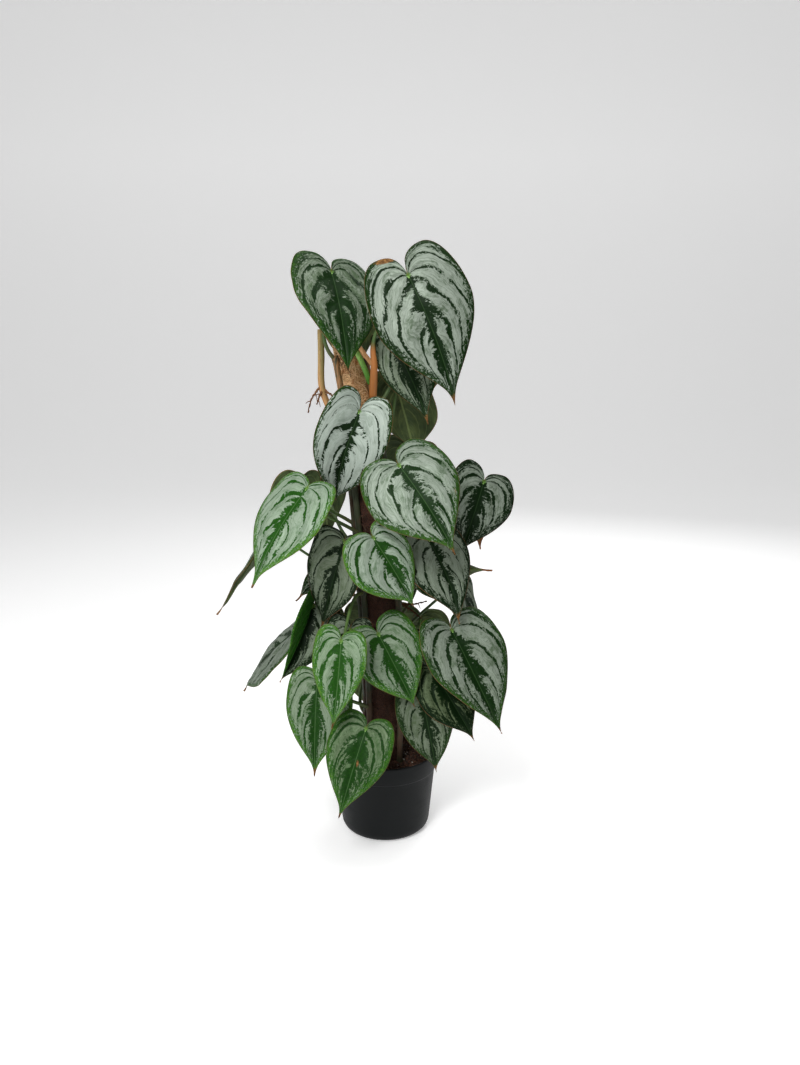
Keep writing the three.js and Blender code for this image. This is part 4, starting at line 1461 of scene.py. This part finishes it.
@dataclass
class Pole:
    """The stake and the coir that is wound round it."""

    bottom: float = 16.0
    rings: int = 170
    sides: int = 72
    fibres: int = 3300
    loops: int = 900
    cords: int = 110
    strays: int = 260
    fray: int = 200
    stake_radius: float = 6.0
    stake_bottom: float = 10.0

    def build(
        self, coir: bpy.types.Material, fibre: bpy.types.Material, stake: bpy.types.Material
    ) -> None:
        """Makes the coir, its fibres and the stake.

        Args:
            coir: The material of the coir's body.
            fibre: The material of the single fibres.
            stake: The stake's material.
        """
        mesh = bmesh.new()
        path = [pole_centre(self.bottom + (POLE_TOP - self.bottom) * i / self.rings) for i in range(self.rings + 1)]
        sweep(mesh, path, lambda share: pole_radius(self.height(share)) - 0.6, self.sides)
        for vert in mesh.verts:
            centre = pole_centre(vert.co.z)
            out = (vert.co - centre) * Vector((1, 1, 0))
            lumps = noise.noise(vert.co * 0.055) * 1.6 + noise.fractal(vert.co * 0.24, 0.7, 2.0, 4) * 0.9
            vert.co += out.normalized() * (lumps - 0.4)
        for face in mesh.faces:
            face.smooth = True
        settle("coir_sleeve", mesh, [coir], ["coir_sleeve"])
        self.shag(fibre)
        mesh = bmesh.new()
        centre = pole_centre(self.bottom)
        foot = [Vector((centre.x, 0, self.stake_bottom + (self.bottom - self.stake_bottom) * i / 4)) for i in range(5)]
        rest = [pole_centre(self.bottom + (POLE_TOP - 14 - self.bottom) * i / 40) for i in range(1, 41)]
        sweep(mesh, foot + rest, lambda share: self.stake_radius - 0.05, 24)
        settle("pole_stake", mesh, [stake], ["pole_stake"])

    def height(self, share: float) -> float:
        """Gives the height at a share of the way up the coir."""
        return self.bottom + (POLE_TOP - self.bottom) * share

    def fibre(self, draw: random.Random, low: float, loose: float, curl: float) -> list[Vector]:
        """Lays one fibre on the coir, as an arc over its surface.

        Args:
            draw: The source of its randomness.
            low: The height of its start.
            loose: How far it stands off the coir.
            curl: How strongly it may curl.

        Returns:
            Its points.
        """
        around = draw.uniform(0, 2 * math.pi)
        height = low
        heading = draw.gauss(0, 0.5) + draw.choice((0, math.pi))
        turning = draw.gauss(0, curl)
        stride = draw.uniform(1.6, 4.2)
        points = []
        for step in range(7):
            share = step / 6
            reach = pole_radius(height) - 0.7 + draw.uniform(-0.3, 0.3) + loose * math.sin(math.pi * share)
            middle = pole_centre(height)
            points.append(middle + Vector((math.cos(around) * reach, math.sin(around) * reach, 0)))
            around += stride * math.cos(heading) / pole_radius(height)
            height = max(SOIL_TOP - 5, min(POLE_TOP, height + stride * math.sin(heading)))
            heading += turning
        return points

    def shag(self, material: bpy.types.Material) -> None:
        """Lays fibres over the coir: wound ones, coarse loops towards its dry top, and a frayed end.

        Args:
            material: Their material.
        """
        draw = random.Random("coir fibres")
        wound = Strands()
        for _ in range(self.fibres):
            low = draw.uniform(SOIL_TOP - 4, POLE_TOP - 3)
            wound.add(self.fibre(draw, low, draw.uniform(0.1, 1.4), 0.25), draw.uniform(0.1, 0.2))
        settle("coir_fibres", wound.mesh(), [material])
        coarse = Strands()
        for _ in range(self.loops):
            low = POLE_TOP - 2 - abs(draw.gauss(0, 50))
            coarse.add(self.fibre(draw, low, draw.uniform(0.4, 2.6), 0.6), draw.uniform(0.24, 0.5))
        for _ in range(self.cords):
            low = POLE_TOP - 3 - abs(draw.gauss(0, 36))
            coarse.add(self.fibre(draw, low, draw.uniform(1, 3), 0.5), draw.uniform(0.5, 0.8))
        for _ in range(self.strays):
            low = draw.uniform(SOIL_TOP, POLE_TOP - 3)
            path = self.fibre(draw, low, 0.5, 0.5)
            out = (path[-1] - pole_centre(path[-1].z)).normalized()
            lifted = [point + out * draw.uniform(3, 9) * (i / 6) ** 2 for i, point in enumerate(path)]
            coarse.add(lifted, draw.uniform(0.09, 0.18))
        for _ in range(self.fray):
            angle = draw.uniform(0, 2 * math.pi)
            reach = draw.uniform(4, pole_radius(POLE_TOP) - 1)
            base = pole_centre(POLE_TOP - 3) + Vector((math.cos(angle) * reach, math.sin(angle) * reach, 0))
            lean = Vector((draw.gauss(0, 0.6), draw.gauss(0, 0.6), draw.uniform(0.2, 1))).normalized()
            height = draw.uniform(4, 10)
            curl = Vector((draw.gauss(0, 2), draw.gauss(0, 2), -1))
            points = [base + lean * height * (i / 5) + curl * (i / 5) ** 2 for i in range(6)]
            coarse.add(points, draw.uniform(0.12, 0.26))
        settle("coir_loops", coarse.mesh(), [material])


@dataclass
class Mix:
    """The potting mix: a crumbly surface with bark chips, crumbs and perlite."""

    steps: int = 120
    chips: int = 620
    crumbs: int = 1500
    perlite: int = 90

    def surface(self, x: float, y: float) -> float:
        """Gives the height of the mix, which rises a little to its middle and lies in small heaps."""
        reach = math.hypot(x, y)
        crown = SOIL_TOP - 0.6 - 4.6 * min(1.0, (reach / 56)) ** 2
        heaps = 0.9 * noise.noise(Vector((x, y, 3)) * 0.09) + 0.5 * noise.noise(Vector((x, y, 9)) * 0.3)
        return crown + heaps * min(1.0, max(0.0, (56.5 - reach) / 5))

    def build(
        self, soil: bpy.types.Material, bark: bpy.types.Material, perlite: bpy.types.Material
    ) -> None:
        """Makes the mix and the loose things on it.

        Args:
            soil: The material of the mix.
            bark: The material of the chips.
            perlite: The material of the perlite.
        """
        profile = [(0.0, 2.7), (36, 2.7), (44, 3.6), (48.9, 9), (54.9, 69), (56.0, 80)]
        rings = 46
        profile += [(56.0 * (1 - i / rings), 80 + 4.4 * (i / rings) ** 0.5) for i in range(1, rings + 1)]
        mesh = spun(profile, self.steps)
        for vert in mesh.verts:
            if vert.co.z > 79.5 and vert.co.xy.length < 56.2:
                vert.co.z = self.surface(vert.co.x, vert.co.y)
        settle("soil", mesh, [soil], ["soil"])
        self.scatter("bark_chips", self.chips, (1.3, 3.6), bark)
        self.scatter("mix_crumbs", self.crumbs, (0.5, 1.3), soil)
        self.scatter("perlite_grains", self.perlite, (0.8, 1.7), perlite)

    def scatter(self, name: str, count: int, sizes: tuple[float, float], material: bpy.types.Material) -> None:
        """Strews small lumps over the mix, each half sunk in it.

        Args:
            name: The piece's name.
            count: How many there are.
            sizes: Their least and largest radius.
            material: Their material.
        """
        draw = random.Random(name)
        mesh = bmesh.new()
        while count:
            angle = draw.uniform(0, 2 * math.pi)
            reach = 54.5 * math.sqrt(draw.random())
            x, y = math.cos(angle) * reach, math.sin(angle) * reach
            size = draw.uniform(*sizes)
            if math.hypot(x + 1, y) < 21.5 + size:
                continue
            count -= 1
            place = Matrix.Translation((x, y, self.surface(x, y) + size * draw.uniform(-0.1, 0.35)))
            turned = Euler([draw.uniform(-0.5, 0.5), draw.uniform(-0.5, 0.5), draw.uniform(0, 6.28)])
            shape = Matrix.Diagonal((size, size * draw.uniform(0.5, 0.95), size * draw.uniform(0.35, 0.7), 1))
            made = bmesh.ops.create_icosphere(mesh, subdivisions=1, radius=1)["verts"]
            for vert in made:
                vert.co *= draw.uniform(0.72, 1.1)
            bmesh.ops.transform(mesh, matrix=place @ turned.to_matrix().to_4x4() @ shape, verts=made)
        settle(name, mesh, [material])


def spun(profile: Sequence[tuple[float, float]], steps: int) -> bmesh.types.BMesh:
    """Spins a profile of radius and height about the upright axis.

    Args:
        profile: The profile, which starts and ends on the axis.
        steps: The number of steps of the turn.

    Returns:
        The mesh, closed and facing out.
    """
    mesh = bmesh.new()
    verts = [mesh.verts.new((reach, 0, height)) for reach, height in profile]
    for pair in zip(verts, verts[1:]):
        mesh.edges.new(pair)
    bmesh.ops.spin(
        mesh,
        geom=[*mesh.verts, *mesh.edges],
        cent=(0, 0, 0),
        axis=(0, 0, 1),
        angle=2 * math.pi,
        steps=steps,
        use_merge=True,
    )
    bmesh.ops.remove_doubles(mesh, verts=mesh.verts, dist=0.001)
    bmesh.ops.recalc_face_normals(mesh, faces=mesh.faces)
    for face in mesh.faces:
        face.smooth = True
    return mesh


@dataclass
class Pot:
    """The nursery pot: a tapered wall with a taller band at its rim, and drain holes in its floor."""

    steps: int = 144
    holes: int = 6
    hole_radius: float = 3.5
    hole_ring: float = 30.0

    def profile(self) -> list[tuple[float, float]]:
        """Gives the radius and height round the pot's section, with its edges rounded."""
        outside = [(0.0, 0.0), (30, 0), (41, 0), (44, 0.5), (47, 1.9), (49.2, 4.2), (50.6, 7.4), (51.2, 11)]
        wall = [(51.2 + 6.1 * i / 12, 11 + 61 * i / 12) for i in range(1, 13)]
        band = [(57.5, 72.7), (58.1, 73.1), (58.55, 73.5), (58.75, 74.2), (59.3, 82), (59.85, 91.6), (59.8, 92.8)]
        lip = [(59.5, 93.6), (59.0, 93.95), (58.5, 93.9), (58.15, 93.4), (57.9, 92)]
        inside = [(57.0, 75.2), (56.6, 74), (55.6, 72.6), (49.3, 9.6), (47, 5.4), (43, 2.7), (40, 2.4), (0, 2.4)]
        return outside + wall + band + lip + inside

    def build(self, material: bpy.types.Material) -> None:
        """Makes the pot.

        Args:
            material: Its plastic.
        """
        mesh = spun(self.profile(), self.steps)
        body = settle("pot", mesh, [material], ["pot"])
        drills = bmesh.new()
        for index in range(self.holes):
            angle = 2 * math.pi * index / self.holes
            place = Matrix.Translation((math.cos(angle) * self.hole_ring, math.sin(angle) * self.hole_ring, 1))
            bmesh.ops.create_cone(
                drills,
                cap_ends=True,
                segments=28,
                radius1=self.hole_radius,
                radius2=self.hole_radius,
                depth=8,
                matrix=place,
            )
        bmesh.ops.transform(drills, matrix=Matrix.Scale(MM, 4), verts=drills.verts)
        form = bpy.data.meshes.new("drain_drills")
        drills.to_mesh(form)
        drills.free()
        cutter = bpy.data.objects.new("drain_drills", form)
        bpy.context.scene.collection.objects.link(cutter)
        cut = body.modifiers.new("drain_holes", "BOOLEAN")
        cut.object = cutter
        cut.operation = "DIFFERENCE"
        cut.solver = "EXACT"
        graph = bpy.context.evaluated_depsgraph_get()
        drilled = bpy.data.meshes.new_from_object(body.evaluated_get(graph))
        body.modifiers.clear()
        body.data = drilled
        bpy.data.objects.remove(cutter)


@dataclass
class Studio:
    """The pale floor and wall, the soft light and the camera."""

    eye: Point = (0.017, -0.950, 0.537)
    pitch: float = 11.25
    lens: float = 29.53

    def build(self) -> None:
        """Sets the stage, the lights and the camera."""
        self.backdrop()
        self.lamp("key_light", (-0.4, -1.15, 1.35), 18, 0.5)
        self.lamp("fill_light", (-1.1, -1.5, 0.55), 8, 0.9)
        self.lamp("top_light", (0.2, -0.1, 2.0), 14, 1.2)
        self.lamp("back_light", (0.7, 1.5, 1.2), 9, 1.0)
        bpy.context.scene.view_settings.view_transform = "Standard"
        world = bpy.data.worlds.new("pale_room")
        world.use_nodes = True
        world.node_tree.nodes["Background"].inputs["Color"].default_value = (1, 1, 1, 1)
        world.node_tree.nodes["Background"].inputs["Strength"].default_value = 0.2
        bpy.context.scene.world = world
        view = bpy.data.cameras.new("camera")
        view.lens = self.lens
        view.sensor_fit = "AUTO"
        camera = bpy.data.objects.new("camera", view)
        camera.location = self.eye
        camera.rotation_euler = (math.radians(90 - self.pitch), 0, 0)
        bpy.context.scene.collection.objects.link(camera)
        bpy.context.scene.camera = camera

    def backdrop(self) -> None:
        """Makes the floor and the wall that curves up from it."""
        mesh = bmesh.new()
        bmesh.ops.create_grid(mesh, x_segments=1, y_segments=1, size=4)
        far = [edge for edge in mesh.edges if all(vert.co.y > 3 for vert in edge.verts)]
        raised = bmesh.ops.extrude_edge_only(mesh, edges=far)["geom"]
        verts = [part for part in raised if isinstance(part, bmesh.types.BMVert)]
        bmesh.ops.translate(mesh, vec=(0, 0, 5), verts=verts)
        bmesh.ops.bevel(
            mesh,
            geom=far,
            offset=1.6,
            offset_type="OFFSET",
            segments=24,
            profile=0.5,
            affect="EDGES",
            material=-1,
        )
        for face in mesh.faces:
            face.smooth = True
        form = bpy.data.meshes.new("studio_floor")
        mesh.to_mesh(form)
        mesh.free()
        floor = bpy.data.objects.new("studio_floor", form)
        bpy.context.scene.collection.objects.link(floor)
        paint = Paint("studio_paper")
        floor.data.materials.append(paint.surface(
            (0.9, 0.9, 0.9, 1), 0.9, fixed={"Emission Color": (1, 1, 1, 1), "Emission Strength": 0.32}
        ))

    def lamp(self, name: str, place: Point, power: float, size: float) -> None:
        """Adds a soft lamp that looks at the middle of the plant.

        Args:
            name: Its name.
            place: Where it stands, in metres.
            power: Its power in watts.
            size: The side of its square.
        """
        light = bpy.data.lights.new(name, "AREA")
        light.energy = power
        light.size = size
        lamp = bpy.data.objects.new(name, light)
        lamp.location = place
        aim = Vector((0, 0, 0.33)) - Vector(place)
        lamp.rotation_euler = aim.to_track_quat("-Z", "Y").to_euler()
        bpy.context.scene.collection.objects.link(lamp)


def main() -> None:
    """Builds the plant, part by part, and then the studio round it."""
    logging.basicConfig(level=logging.INFO, format="%(name)s: %(message)s")
    coir = CoirFinish()
    # The fibres' top colours include painted light as well.
    fibre = CoirFinish(
        moist_light=tint(112, 66, 44), lit_dry_dark=tint(150, 92, 50), dry=tint(190, 126, 72), lit_dry_pale=tint(250, 214, 162)
    )
    soil = MixFinish().material()
    bark = MixFinish(dark=tint(58, 34, 24), light=tint(122, 76, 50), name="bark").material()
    Pot().build(PotFinish().material())
    Mix().build(soil, bark, PerliteFinish().material())
    Pole().build(coir.material("coir"), fibre.material("coir_fibre"), STAKE.material())
    stem, stub, clinging = StemFinish().material(), STUB.material(), CLINGING.material()
    for side in Side:
        Stem(side, [leaf.root for leaf in LEAVES if leaf.stem is side]).build(stem, stub, clinging)
    DryRoots().build(ROOT.material())
    Shoot().build(SHOOT.material(), PAPER.material())
    upper, lower, stalk = BladeFinish().material(), UndersideFinish().material(), StalkFinish().material()
    for leaf in LEAVES:
        leaf.build([upper, lower, upper, stalk])
    Studio().build()


if __name__ == "__main__":
    main()
